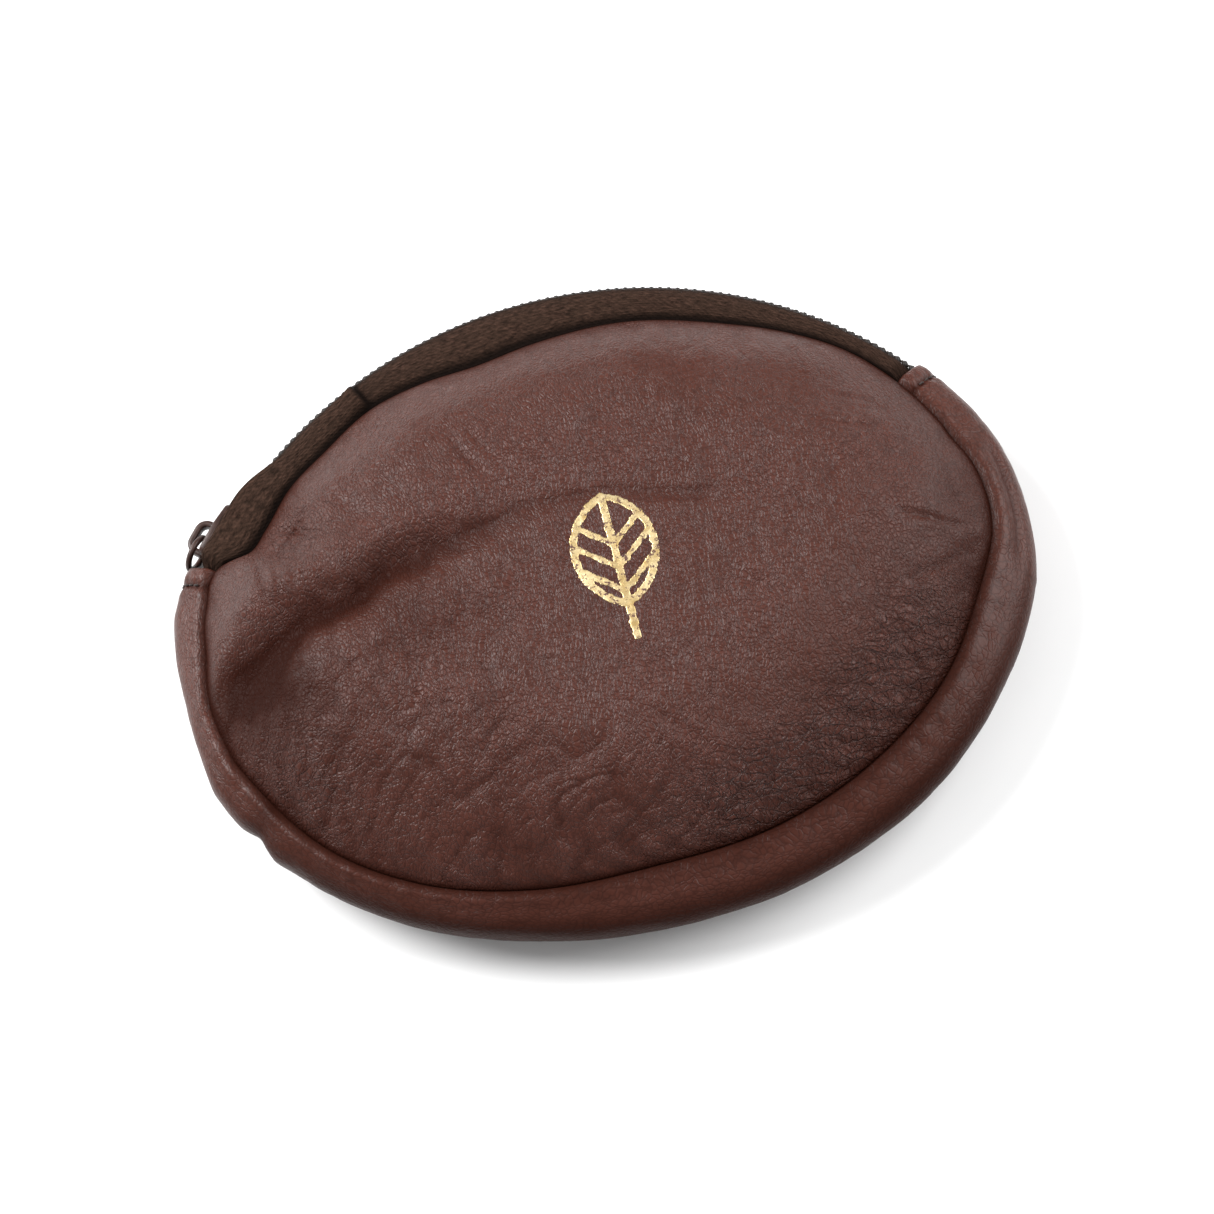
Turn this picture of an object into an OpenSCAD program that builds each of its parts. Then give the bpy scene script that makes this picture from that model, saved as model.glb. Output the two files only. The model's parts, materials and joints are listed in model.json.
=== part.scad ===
// Oval zippered pouch: two leather panels, a leather gusset strip and a nylon coil zip.
// It lies on its back panel: +Z is up, +X runs along the width and +Y points to the zip.

/* [Outline] */
// Width of the pouch over the gusset
body_w = 114; // [110:1:115]
// Height of the pouch from the bottom of the gusset to the zip
body_h = 90; // [88:0.5:92]
// Radius of the long arc along the top and the bottom
long_arc_r = 61; // [60:0.5:64]
// Distance of the panel seams in from the outer edge
seam_inset = 5.5; // [5:0.1:6]

/* [Thickness] */
// Height of the middle of the rim above the table
rim_z = 8.2; // [8.2:0.1:10]
// Half of the distance between the two panel seams
rim_half = 4; // [4:0.1:4.4]
// How far the front panel domes up from its seam
dome_h = 7.4; // [5:0.1:10]
// Thickness of the panel leather
panel_t = 1; // [0.8:0.05:1.2]
// Thickness of the gusset leather
gusset_t = 0.8; // [0.6:0.05:0.8]
// Width of the seam allowance turned to the inside
seam_allow = 4; // [3:0.5:5]

/* [Zip] */
// Angle from the middle of the zip to the right hem of the gusset
hem_deg = 53.4; // [50:0.2:55]
// Angle from the middle of the zip to the left hem of the gusset
hem_left_deg = 56; // [54:0.2:56]
// Length of one turn of the zip coil
coil_pitch = 1.15; // [1:0.05:1.4]
// Half of the width of the closed chain
chain_half = 2; // [1.9:0.05:2]
// Thickness of the woven tape
tape_t = 0.5; // [0.4:0.05:0.5]
// Angle at which the closed slider is parked
slider_deg = 50; // [46:0.2:50]

/* [Slider and pull] */
// Length of the slider plates
slider_l = 7.6; // [7:0.1:8]
// Half of the width of the outer slider plate
slider_half = 3.1; // [2.9:0.05:3.2]
// Length of the pull from the middle of its eye to its tip
pull_l = 9.4; // [8:0.1:9.4]
// Thickness of the pull
pull_t = 0.8; // [0.7:0.05:0.9]

/* [Mouth and stamp] */
// Height on the front panel at which the leather folds when the mouth opens
fold_y = 22; // [21:0.5:24]
// Place of the middle of the stamp along the width
stamp_x = 3.5; // [-5:0.5:5]
// Place of the middle of the stamp along the height
stamp_y = 1.5; // [-5:0.5:5]
// Length of the stamp
stamp_l = 20; // [14:0.5:22]

/* [Hidden] */
$fn = 128;

// The outline is a four-arc oval: two long arcs and two end arcs that meet smoothly.
half_w = body_w / 2;
half_h = body_h / 2;
long_cy = long_arc_r - half_h;
end_arc_r = half_w - (long_cy * long_cy - (long_arc_r - half_w) * (long_arc_r - half_w))
  / (2 * (long_arc_r - half_w));
end_cx = half_w - end_arc_r;
join_deg = atan2(end_cx, long_cy);

front_z = rim_z + rim_half;
back_z = rim_z - rim_half;
edge_h = 2 * panel_t + 0.2;
top_z = front_z + edge_h + dome_h;
crown_inset = end_arc_r - 2;
belly_inset = 16;
split_gap = 0.6;

// The zip: insets of its layers from the outer edge.
chain_in = 1.75;
tape_in = 3;
tape_flat = 2.5;
tape_edge = 0.45;
tuck_deg = 58.5;
hem_t = gusset_t + 0.4;
hem_fold_deg = 3;
stitch_gap_deg = 2.3;
coil_turns = floor(2 * tuck_deg * PI / 180 * (long_arc_r - tape_in) / coil_pitch) - 2;

plate_y = -chain_in + 0.25;
plate_t = 0.95;
post_half = 0.25;
bridge_l = 5;
bridge_t = 0.9;
bridge_half = 0.75;
hollow_h = 1.9;
bridge_x = -slider_l / 2;
pivot_x = bridge_x + bridge_l / 2;
pivot_y = plate_y + plate_t + hollow_h / 2;
eye_in = 1.75;
eye_bar = 0.9;
pull_half = 2;
pull_tilt = 1;
pull_droop = 50;
pivot_r = 0.5;

// Profile of a sheet of leather bulging out between the two seams, as [inset, height].
function bulge(t, side, n = 9, power = 3) = [
  for (i = [0 : 2 * n])
    let (a = 90 * (i / n - 1) * side)
    [
      seam_inset - (seam_inset - t) * pow(cos(a), 2 / power),
      rim_z + sign(sin(a)) * (rim_half - t) * pow(abs(sin(a)), 2 / power)
    ]
];

function gusset_profile(t) = concat(
  [[seam_inset + seam_allow, back_z]],
  bulge(0, 1),
  [[seam_inset + seam_allow, front_z]],
  [[seam_inset + seam_allow, front_z - gusset_t]],
  [[seam_inset, front_z - gusset_t]],
  bulge(t, -1),
  [[seam_inset, back_z + gusset_t]],
  [[seam_inset + seam_allow, back_z + gusset_t]]
);

// Height of the outer face of the front dome, and of the back belly, at an inset.
function dome(d) = front_z + edge_h
  + dome_h * (1 - pow(1 - (d - seam_inset) / (crown_inset - seam_inset), 2.2));
function belly(d) = (back_z - edge_h) * pow(1 - (d - seam_inset) / (belly_inset - seam_inset), 2.2);

function inset_at(i, n, far) = seam_inset + 0.3 + (far - seam_inset - 0.3) * i / n;

function front_profile(n = 14) = concat(
  [[seam_inset + seam_allow, front_z], [seam_inset + 0.3, front_z]],
  [[seam_inset - 0.2, front_z + 0.5], [seam_inset - 0.2, front_z + edge_h - 0.6]],
  [for (i = [0 : n]) let (d = inset_at(i, n, crown_inset)) [d, dome(d)]],
  [for (i = [n : -1 : 1]) let (d = inset_at(i, n, crown_inset)) [d, dome(d) - panel_t]],
  [[seam_inset + 1, front_z + panel_t + 0.2], [seam_inset + 1, front_z + panel_t]],
  [[seam_inset + seam_allow, front_z + panel_t]]
);

function back_profile(n = 8) = concat(
  [[seam_inset + seam_allow, back_z], [seam_inset + 0.3, back_z]],
  [[seam_inset - 0.2, back_z - 0.5], [seam_inset - 0.2, back_z - edge_h + 0.6]],
  [for (i = [0 : n]) let (d = inset_at(i, n, belly_inset)) [d, belly(d)]],
  [for (i = [n : -1 : 1]) let (d = inset_at(i, n, belly_inset)) [d, belly(d) + panel_t]],
  [[seam_inset + 1, back_z - panel_t - 0.2], [seam_inset + 1, back_z - panel_t]],
  [[seam_inset + seam_allow, back_z - panel_t]]
);

// Profile of one tape: seam allowance, rounded shoulder and the flat that carries the coil.
function tape_line(drop, flat, t, n = 6) = [
  for (i = [0 : n])
    let (a = 90 * i / n)
    [
      seam_inset - (seam_inset - tape_in - t) * sin(a),
      flat + (rim_half - drop - t - flat) * cos(a)
    ]
];
function reverse_list(v) = [for (i = [len(v) - 1 : -1 : 0]) v[i]];
function tape_profile(drop, flat) = concat(
  [[seam_inset + seam_allow, rim_half - drop]],
  tape_line(drop, flat, 0),
  [[tape_in, tape_edge], [tape_in + tape_t, tape_edge]],
  reverse_list(tape_line(drop, flat, tape_t)),
  [[seam_inset + seam_allow, rim_half - drop - tape_t]]
);

// Places a profile given as [inset, height] on an arc of radius r.
function on_arc(profile, r) = [for (p = profile) [r - p[0], p[1]]];
function on_side(profile, side) = [for (p = profile) [p[0], rim_z + side * p[1]]];

// Everything along the rim is made for the right half, then mirrored to the left.
module both_halves() {
  for (side = [0, 1])
    mirror([side, 0, 0])
      children();
}

// Turns a profile about the centre of an arc. Angles run clockwise from the middle of the zip.
module turn_top(from_deg, to_deg) {
  translate([0, -long_cy, 0])
    rotate_extrude(angle = to_deg - from_deg, start = 90 - to_deg)
      children();
}

module turn_end(trim = 0) {
  translate([end_cx, 0, 0])
    rotate_extrude(angle = 180 - 2 * join_deg - 2 * trim, start = join_deg - 90 + trim)
      children();
}

module turn_bottom(trim = 0) {
  translate([0, long_cy, 0])
    rotate_extrude(angle = join_deg - 2 * trim, start = 270 + trim)
      children();
}

module sweep_top(profile, from_deg, to_deg) {
  both_halves()
    turn_top(from_deg, to_deg)
      polygon(on_arc(profile, long_arc_r));
}

module sweep_round(profile) {
  both_halves() {
    turn_end()
      polygon(on_arc(profile, end_arc_r));
    turn_bottom()
      polygon(on_arc(profile, long_arc_r));
  }
}

module sweep_oval(profile) {
  sweep_top(profile, 0, join_deg);
  sweep_round(profile);
}

// The same sweep along the zip in one piece, from one side of the middle to the other.
module sweep_zip(profile, left_deg, right_deg) {
  turn_top(-left_deg, right_deg)
    polygon(on_arc(profile, long_arc_r));
}

// A round line along the zip, and its lengths round the rest of the rim.
module line_zip(d, z, r, end_deg) {
  turn_top(-end_deg, end_deg)
    translate([long_arc_r - d, z])
      circle(r, $fn = 24);
}

module line_rest(d, z, r, top_deg) {
  both_halves() {
    if (top_deg < join_deg)
      turn_top(top_deg, join_deg - 0.15)
        translate([long_arc_r - d, z])
          circle(r, $fn = 24);
    turn_end(trim = 0.15)
      translate([end_arc_r - d, z])
        circle(r, $fn = 24);
    turn_bottom(trim = 0.15)
      translate([long_arc_r - d, z])
        circle(r, $fn = 24);
  }
}

// The flat middle of a panel: the area of the oval inside one inset.
module middle(d, z0, z1) {
  join_x = end_cx + (end_arc_r - d) * sin(join_deg);
  translate([0, 0, z0])
    linear_extrude(z1 - z0) {
      intersection() {
        translate([0, -long_cy])
          circle(long_arc_r - d);
        translate([0, long_cy])
          circle(long_arc_r - d);
        square([2 * join_x, 2 * half_h], center = true);
      }
      for (end = [-1, 1])
        translate([end * end_cx, 0])
          circle(end_arc_r - d);
    }
}

// Local frame of the zip: x runs back along the chain, y points outward from the outer edge.
module at_zip(deg) {
  translate([0, -long_cy, 0])
    rotate([0, 0, deg])
      translate([0, long_arc_r, 0])
        children();
}

module back_panel() {
  color("#5a3a33") {
    sweep_oval(back_profile());
    middle(belly_inset, 0, panel_t);
  }
}

module whole_front() {
  sweep_oval(front_profile());
  middle(crown_inset, top_z - panel_t, top_z);
}

module front_panel() {
  color("#6b4a44")
    intersection() {
      whole_front();
      translate([-body_w, fold_y - split_gap / 2 - 2 * body_h, 0])
        cube([2 * body_w, 2 * body_h, 2 * top_z]);
    }
}

module front_panel_mouth() {
  color("#74524c")
    intersection() {
      whole_front();
      translate([-body_w, fold_y + split_gap / 2, 0])
        cube([2 * body_w, 2 * body_h, 2 * top_z]);
    }
}

module gusset_strip() {
  plain = gusset_profile(gusset_t);
  hem = gusset_profile(hem_t);
  color("#604039") {
    for (side = [0, 1])
      let (start = side == 0 ? hem_deg : hem_left_deg)
        mirror([side, 0, 0]) {
          turn_top(start, start + hem_fold_deg)
            polygon(on_arc(hem, long_arc_r));
          turn_top(start + hem_fold_deg, join_deg)
            polygon(on_arc(plain, long_arc_r));
        }
    sweep_round(plain);
  }
}

module zip_tape(side) {
  sewn = on_side(tape_profile(0.1, tape_flat), side);
  tucked = on_side(tape_profile(hem_t + 0.1, chain_half + 0.1), side);
  color("#3a332b") {
    sweep_zip(sewn, hem_left_deg - 0.3, hem_deg - 0.3);
    turn_top(hem_deg - 0.3, tuck_deg)
      polygon(on_arc(tucked, long_arc_r));
    turn_top(-tuck_deg, 0.3 - hem_left_deg)
      polygon(on_arc(tucked, long_arc_r));
  }
}

module zip_tape_back() {
  zip_tape(-1);
}

module zip_tape_front() {
  zip_tape(1);
}

// One side of the coil: a hollow spine with a short head for each turn.
module zip_coil(side) {
  spine = [
    [tape_in, 0.9], [tape_in - 0.95, 0.9], [chain_in, 1.1], [chain_in, chain_half - 0.4],
    [chain_in + 0.5, chain_half], [tape_in, chain_half]
  ];
  end_deg = tuck_deg - 1;
  head_l = 0.5 * coil_pitch;
  color("#241f1b") {
    difference() {
      sweep_zip(on_side(spine, side), end_deg, end_deg);
      line_zip(cord_inset(), rim_z + side * cord_off(), 0.25, end_deg + 1);
    }
    for (i = [0 : coil_turns - 1])
      at_zip((i - (coil_turns - 1) / 2 + 0.25 * side) * coil_pitch / (long_arc_r - tape_in) * 180 / PI)
        translate([-head_l / 2, -tape_in + 0.25, rim_z + side * 0.7 - 0.25])
          cube([head_l, 0.75, 0.5]);
  }
}

function cord_inset() = tape_in - 0.6;
function cord_off() = 1.45;

module zip_coil_back() {
  zip_coil(-1);
}

module zip_coil_front() {
  zip_coil(1);
}

module filler_cord(side) {
  color("#6e6455")
    line_zip(cord_inset(), rim_z + side * cord_off(), 0.22, tuck_deg - 1);
}

module filler_cord_back() {
  filler_cord(-1);
}

module filler_cord_front() {
  filler_cord(1);
}

module coil_stitching(side) {
  color("#2c2620")
    line_zip(tape_in - 0.14, rim_z + side * (chain_half + 0.2), 0.12, tuck_deg - 1);
}

module coil_stitching_back() {
  coil_stitching(-1);
}

module coil_stitching_front() {
  coil_stitching(1);
}

// Outline of a slider plate: square at the divider end, narrower at the tail.
module plate(half, y0, t) {
  tail = 0.72 * half;
  x0 = -slider_l / 2;
  translate([0, y0 + t, rim_z])
    rotate([90, 0, 0])
      linear_extrude(t)
        polygon([
          [x0, -half + 0.6], [x0 + 0.6, -half], [0.5, -half], [slider_l / 2, -tail],
          [slider_l / 2, tail], [0.5, half], [x0 + 0.6, half], [x0, half - 0.6]
        ]);
}

// Side view of the bridge that holds the pull: a flat arch with round shoulders.
module arch(w, h, r) {
  translate([r, 0])
    square([w - 2 * r, h]);
  translate([0, -0.2])
    square([w, h - r + 0.2]);
  translate([r, h - r])
    circle(r);
  translate([w - r, h - r])
    circle(r);
}

module slider_body() {
  inner_y = -tape_in - tape_t - 0.3;
  flange_t = 0.65;
  color("#4a3730")
    at_zip(slider_deg) {
      plate(slider_half, plate_y, plate_t);
      plate(2.2, inner_y - 0.85, 0.85);
      for (side = [-1, 1])
        translate([-slider_l / 2 + 0.6, plate_y - 0.9, rim_z + side * (slider_half - flange_t / 2) - flange_t / 2])
          cube([slider_l / 2 - 0.1, 1.2, flange_t]);
      translate([-slider_l / 2, inner_y - 0.4, rim_z - post_half])
        cube([1.6, plate_y - inner_y + 0.8, 2 * post_half]);
      translate([bridge_x, plate_y + plate_t, rim_z - bridge_half])
        linear_extrude(2 * bridge_half)
          difference() {
            arch(bridge_l, hollow_h + bridge_t, 1.7);
            translate([bridge_t, 0])
              arch(bridge_l - 2 * bridge_t, hollow_h, 0.9);
          }
    }
}

// The pull hangs from the bridge by a round eye with a pivot bar, turned down beside the rim.
module pull_tab() {
  eye_out = eye_in + eye_bar;
  eye_x = eye_bar / 2 + eye_in;
  color("#4a3730")
    at_zip(slider_deg)
      translate([pivot_x, pivot_y, rim_z]) {
        cylinder(r = pivot_r, h = 2 * bridge_half, center = true);
        rotate([0, 0, pull_tilt])
          translate([-eye_x, pull_t / 2, 0])
            rotate([90, 0, 0])
              linear_extrude(pull_t)
                rotate([0, 0, pull_droop])
                  difference() {
                    union() {
                      circle(eye_out);
                      translate([-pull_l + pull_half, -pull_half])
                        square([pull_l - pull_half, 2 * pull_half]);
                      translate([-pull_l + pull_half, 0])
                        circle(pull_half);
                    }
                    circle(eye_in);
                  }
      }
}

// A row of stitches across the gusset, a little way behind the folded hem.
module hem_stitches(start_deg) {
  outline = bulge(0, 1);
  color("#2a1c18")
    for (i = [3 : len(outline) - 5])
      let (
        p = outline[i],
        q = outline[i + 1],
        run = atan2(q[1] - p[1], p[0] - q[0]),
        gap = 0.2
      )
        translate([0, -long_cy, 0])
          rotate([0, 0, start_deg])
            translate([0, long_arc_r - (p[0] + q[0]) / 2 + gap * sin(run), (p[1] + q[1]) / 2 - gap * cos(run)])
              rotate([run - 90, 0, 0])
                cylinder(r = 0.18, h = 0.62 * norm(q - p), center = true, $fn = 16);
}

module hem_stitches_left() {
  hem_stitches(hem_left_deg + stitch_gap_deg);
}

module hem_stitches_right() {
  hem_stitches(-hem_deg - stitch_gap_deg);
}

thread_r = 0.2;
thread_in = seam_inset + seam_allow / 2;
thread_split = acos((fold_y + long_cy) / (long_arc_r - thread_in));

// Each seam has a needle thread on the panel and a second thread on the other layer.
module back_seam_thread() {
  above = back_z - panel_t - thread_r;
  color("#33221e") {
    line_zip(thread_in, above, thread_r, join_deg - 0.15);
    line_rest(thread_in, above, thread_r, join_deg);
    line_zip(thread_in, back_z + tape_t + 0.1 + thread_r, thread_r, hem_deg - 0.5);
    line_rest(thread_in, back_z + gusset_t + thread_r, thread_r, tuck_deg + 0.3);
  }
}

module front_seam_thread() {
  color("#33221e") {
    line_rest(thread_in, front_z + panel_t + thread_r, thread_r, thread_split + 0.5);
    line_rest(thread_in, front_z - gusset_t - thread_r, thread_r, tuck_deg + 0.3);
  }
}

module front_seam_thread_mouth() {
  span = thread_split - 0.5;
  color("#33221e") {
    line_zip(thread_in, front_z + panel_t + thread_r, thread_r, span);
    line_zip(thread_in, front_z - tape_t - 0.1 - thread_r, thread_r, span);
  }
}

// The blade of the leaf, drawn in by an inset.
module leaf_blade(inset) {
  intersection() {
    translate([-0.1457 * stamp_l, -0.04 * stamp_l])
      circle(0.4257 * stamp_l - inset);
    translate([0.1457 * stamp_l, -0.04 * stamp_l])
      circle(0.4257 * stamp_l - inset);
  }
}

// A plain veined leaf in foil, lying on the flat top of the front panel.
module gold_stamp() {
  line = 0.06 * stamp_l;
  color("#b9a27a")
    translate([stamp_x, stamp_y, top_z])
      linear_extrude(0.12)
        union() {
          difference() {
            leaf_blade(0);
            leaf_blade(line);
          }
          intersection() {
            leaf_blade(line / 2);
            union() {
              for (side = [-1, 1])
                for (vein = [-0.33, -0.17, -0.01])
                  translate([0, vein * stamp_l])
                    rotate(side * 50)
                      translate([-line / 2, 0])
                        square([line, 0.4 * stamp_l]);
            }
          }
          translate([-line / 2, -0.64 * stamp_l])
            square([line, 0.96 * stamp_l]);
        }
}

back_panel();
front_panel();
front_panel_mouth();
gusset_strip();
zip_tape_back();
zip_tape_front();
zip_coil_back();
zip_coil_front();
filler_cord_back();
filler_cord_front();
coil_stitching_back();
coil_stitching_front();
slider_body();
pull_tab();
hem_stitches_left();
hem_stitches_right();
back_seam_thread();
front_seam_thread();
front_seam_thread_mouth();
gold_stamp();
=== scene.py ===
"""An oval leather zip pouch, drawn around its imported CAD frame."""
import json
import math

import bmesh
import bpy
import numpy as np
from mathutils import Matrix, Vector


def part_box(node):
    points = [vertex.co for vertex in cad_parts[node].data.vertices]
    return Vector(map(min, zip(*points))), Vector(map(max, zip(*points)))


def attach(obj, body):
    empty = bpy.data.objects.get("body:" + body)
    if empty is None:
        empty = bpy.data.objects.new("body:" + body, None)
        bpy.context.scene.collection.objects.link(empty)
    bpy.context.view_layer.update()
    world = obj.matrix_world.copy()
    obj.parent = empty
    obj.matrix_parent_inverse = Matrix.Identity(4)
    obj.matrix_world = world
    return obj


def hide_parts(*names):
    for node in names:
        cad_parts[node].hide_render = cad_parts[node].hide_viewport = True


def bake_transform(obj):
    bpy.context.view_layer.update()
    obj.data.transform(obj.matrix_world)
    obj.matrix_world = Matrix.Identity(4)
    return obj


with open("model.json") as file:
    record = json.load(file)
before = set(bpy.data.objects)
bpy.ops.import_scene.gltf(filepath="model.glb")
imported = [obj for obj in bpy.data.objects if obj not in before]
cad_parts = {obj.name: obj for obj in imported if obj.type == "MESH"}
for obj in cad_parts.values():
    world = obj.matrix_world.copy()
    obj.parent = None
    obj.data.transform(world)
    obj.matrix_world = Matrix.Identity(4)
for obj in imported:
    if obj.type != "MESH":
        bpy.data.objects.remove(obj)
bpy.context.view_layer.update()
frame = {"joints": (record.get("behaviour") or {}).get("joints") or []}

MM = 0.001

# ---- sizes from the frame, in mm


def box_mm(node):
    low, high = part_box(node)
    return [c / MM for c in low], [c / MM for c in high]


def joint_named(name):
    return next(j for j in frame["joints"] if j["name"] == name)


def joint_mm(name):
    return [c / MM for c in joint_named(name)["pos_m"]]


GUSSET_LOW, GUSSET_HIGH = box_mm("gusset_strip")
RIM_Z = (GUSSET_LOW[2] + GUSSET_HIGH[2]) / 2
RIM_HALF = (GUSSET_HIGH[2] - GUSSET_LOW[2]) / 2
FRONT_Z = RIM_Z + RIM_HALF
BACK_Z = RIM_Z - RIM_HALF
TOP_Z = box_mm("front_panel")[1][2]

# The outline: two long arcs about (0, -/+LONG_CY) and two end arcs about (+/-END_CX, 0).
HALF_H = -GUSSET_LOW[1]
HALF_W = round(GUSSET_HIGH[0])
LONG_CY = -joint_mm("slider_travel")[1]
LONG_R = HALF_H + LONG_CY
SPARE = LONG_R - HALF_W
END_R = HALF_W - (LONG_CY ** 2 - SPARE ** 2) / (2 * SPARE)
END_CX = HALF_W - END_R
JOIN = math.degrees(math.atan2(LONG_CY, END_CX))

HEMS = {1: 56.0, -1: 53.4}   # angle from the middle of the zip to the left and right hem
TUCK = 58.4              # angle at which the tapes end, under the hems
TAPE_KINKS = {1: 24.8, -1: -18.0}    # where each tape has a sharp kink across it
COIL_PITCH = 1.15
COIL_IN = 2.4            # inset of the middle of the coil
TAPE_IN = 3.0            # inset of the tape that carries the coil
TAPE_T = 0.45
PANEL_T = 0.9
GUSSET_T = 0.7
ALLOWANCE = 4.0          # how far the edges run in past a seam
SEAM_ROW = 2.0           # inset of a seam's stitches past the seam
HEM_ROW = 2.4            # distance of a hem's stitches from the hem
SLIDER_DEG = 50.0        # where the closed slider is parked, left of the middle

# ---- the outline of the pouch


def arc_at(alpha):
    """Centre and radius of the outline's arc at a normal angle in degrees."""
    a = np.mod(alpha, 360.0)
    right = (a < JOIN) | (a > 360 - JOIN)
    left = np.abs(a - 180) < JOIN
    cx = np.where(right, END_CX, np.where(left, -END_CX, 0.0))
    cy = np.where(right | left, 0.0, np.where(a < 180, -LONG_CY, LONG_CY))
    r = np.where(right | left, END_R, LONG_R)
    return cx, cy, r


def rim_point(alpha, inset):
    cx, cy, r = arc_at(alpha)
    t = np.radians(alpha)
    return cx + (r - inset) * np.cos(t), cy + (r - inset) * np.sin(t)


def inset_and_angle(x, y):
    """Inset from the outline, and the normal angle there, of points inside it."""
    ax, ay = np.abs(x), np.abs(y)
    at_end = (ax > END_CX) & (ay < (ax - END_CX) * math.tan(math.radians(JOIN)))
    ux = np.where(at_end, ax - END_CX, ax)
    uy = np.where(at_end, ay, ay + LONG_CY)
    r = np.where(at_end, END_R, LONG_R)
    angle = np.degrees(np.arctan2(np.where(y < 0, -uy, uy), np.where(x < 0, -ux, ux)))
    return r - np.hypot(ux, uy), np.mod(angle, 360)


def arc_length(alpha):
    """Distance along the outline to a normal angle, from angle 0, anticlockwise."""
    a = np.asarray(alpha, float)
    grid = np.arange(-360, 721, 0.5)
    _, _, r = arc_at(grid + 0.25)
    s = np.concatenate([[0], np.cumsum(r[:-1]) * math.radians(0.5)])
    return np.interp(a, grid, s - np.interp(0, grid, s))


def smooth(t):
    t = np.clip(t, 0, 1)
    return t * t * (3 - 2 * t)


def curve(x, a, v):
    """Smooth curve through the knots (a, v), by cubic pieces."""
    slope = np.gradient(v, a)
    i = np.clip(np.searchsorted(a, x) - 1, 0, len(a) - 2)
    w = a[i + 1] - a[i]
    t = (x - a[i]) / w
    return (v[i] * (1 + 2 * t) * (1 - t) ** 2 + slope[i] * w * t * (1 - t) ** 2
            + v[i + 1] * t * t * (3 - 2 * t) + slope[i + 1] * w * t * t * (t - 1))


def around(alpha, knots):
    """Smooth closed curve through (angle, value) knots."""
    a, v = np.array(knots, float).T
    a = np.concatenate([a[-2:] - 360, a, a[:2] + 360])
    v = np.concatenate([v[-2:], v, v[:2]])
    return curve(np.mod(np.asarray(alpha, float), 360), a, v)


# How far the soft gusset stands in from the CAD outline, and how far in the panel seams lie.
OUTER_KNOTS = [(0, 1.3), (14, 1.3), (26, 1.25), (37, 1.0), (60, 0), (120, 0), (150, 0.1), (164, 1.5),
               (180, 2.5), (196, 1.9), (215, -0.1), (236, 0), (255, 0.9), (270, 0.7),
               (290, -0.3), (306, -1.0), (322, -0.7), (340, 0.6)]
SEAM_KNOTS = [(0, 6.4), (12, 6.6), (24, 6.9), (34, 6.1), (46, 5.8), (54, 6.6), (63, 7.6),
              (76, 8.2), (90, 9.4), (99, 9.8), (107, 8.6), (115, 7.6), (124, 7.8), (131, 7.5),
              (138, 8.0), (141.8, 7.6), (145, 4.9), (152, 5.3), (168, 6.4), (184, 6.0),
              (200, 5.6), (212, 4.9), (226, 3.9), (238, 4.5), (252, 6.1), (268, 7.7),
              (286, 6.8), (300, 6.1), (316, 5.7), (326, 6.3), (344, 6.2)]


def outer_inset(alpha):
    return around(alpha, OUTER_KNOTS)


def seam_inset(alpha):
    return around(alpha, SEAM_KNOTS)


# ---- repeatable noise


def lattice(seed):
    return np.random.default_rng(seed).random((256, 256))


def value_noise(x, y, seed):
    """Smooth noise from -1 to 1 with a period of one unit."""
    g = lattice(seed)
    xi, yi = np.floor(x).astype(int), np.floor(y).astype(int)
    fx, fy = smooth(x - xi), smooth(y - yi)
    a = g[xi % 256, yi % 256] * (1 - fx) + g[(xi + 1) % 256, yi % 256] * fx
    b = g[xi % 256, (yi + 1) % 256] * (1 - fx) + g[(xi + 1) % 256, (yi + 1) % 256] * fx
    return 2 * (a * (1 - fy) + b * fy) - 1


def fractal(x, y, seed, octaves=3):
    total = 0.0
    for k in range(octaves):
        total = total + value_noise(x * 2 ** k + 17 * k, y * 2 ** k - 9 * k, seed + k) / 2 ** k
    return total


def creases(x, y, seed, octaves=2):
    """Thin valleys between rounded cells: 0 on the cells, -1 in the valleys."""
    total = 0.0
    for k in range(octaves):
        n = np.abs(value_noise(x * 1.9 ** k + 31 * k, y * 1.9 ** k + 5 * k, seed + k))
        total = total - np.exp(-(n / 0.20) ** 2) / 1.6 ** k
    return total


def bell(t, width):
    """1 where t is 0, and falling away on both sides."""
    return np.exp(-(t / width) ** 2)


def blobs(x, y, rows):
    """Sum of round swellings: (height, x, y, x radius, y radius)."""
    return sum(h * bell(x - cx, rx) * bell(y - cy, ry) for h, cx, cy, rx, ry in rows)


def along_line(x, y, points):
    """Share of the way along a run of points, and the signed distance to its left."""
    best = np.full(np.shape(x), 1e9)
    side = np.zeros(np.shape(x))
    share = np.zeros(np.shape(x))
    p = np.array(points, float)
    step = np.hypot(*np.diff(p, axis=0).T)
    start = np.concatenate([[0], np.cumsum(step)])
    for k in range(len(p) - 1):
        dx, dy = (p[k + 1] - p[k]) / step[k]
        t = np.clip((x - p[k, 0]) * dx + (y - p[k, 1]) * dy, 0, step[k])
        ex, ey = x - p[k, 0] - t * dx, y - p[k, 1] - t * dy
        dist = np.hypot(ex, ey)
        near = dist < best
        best = np.where(near, dist, best)
        side = np.where(near, np.sign(dx * ey - dy * ex) * dist, side)
        share = np.where(near, (start[k] + t) / start[-1], share)
    return share, side


# ---- making meshes


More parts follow.
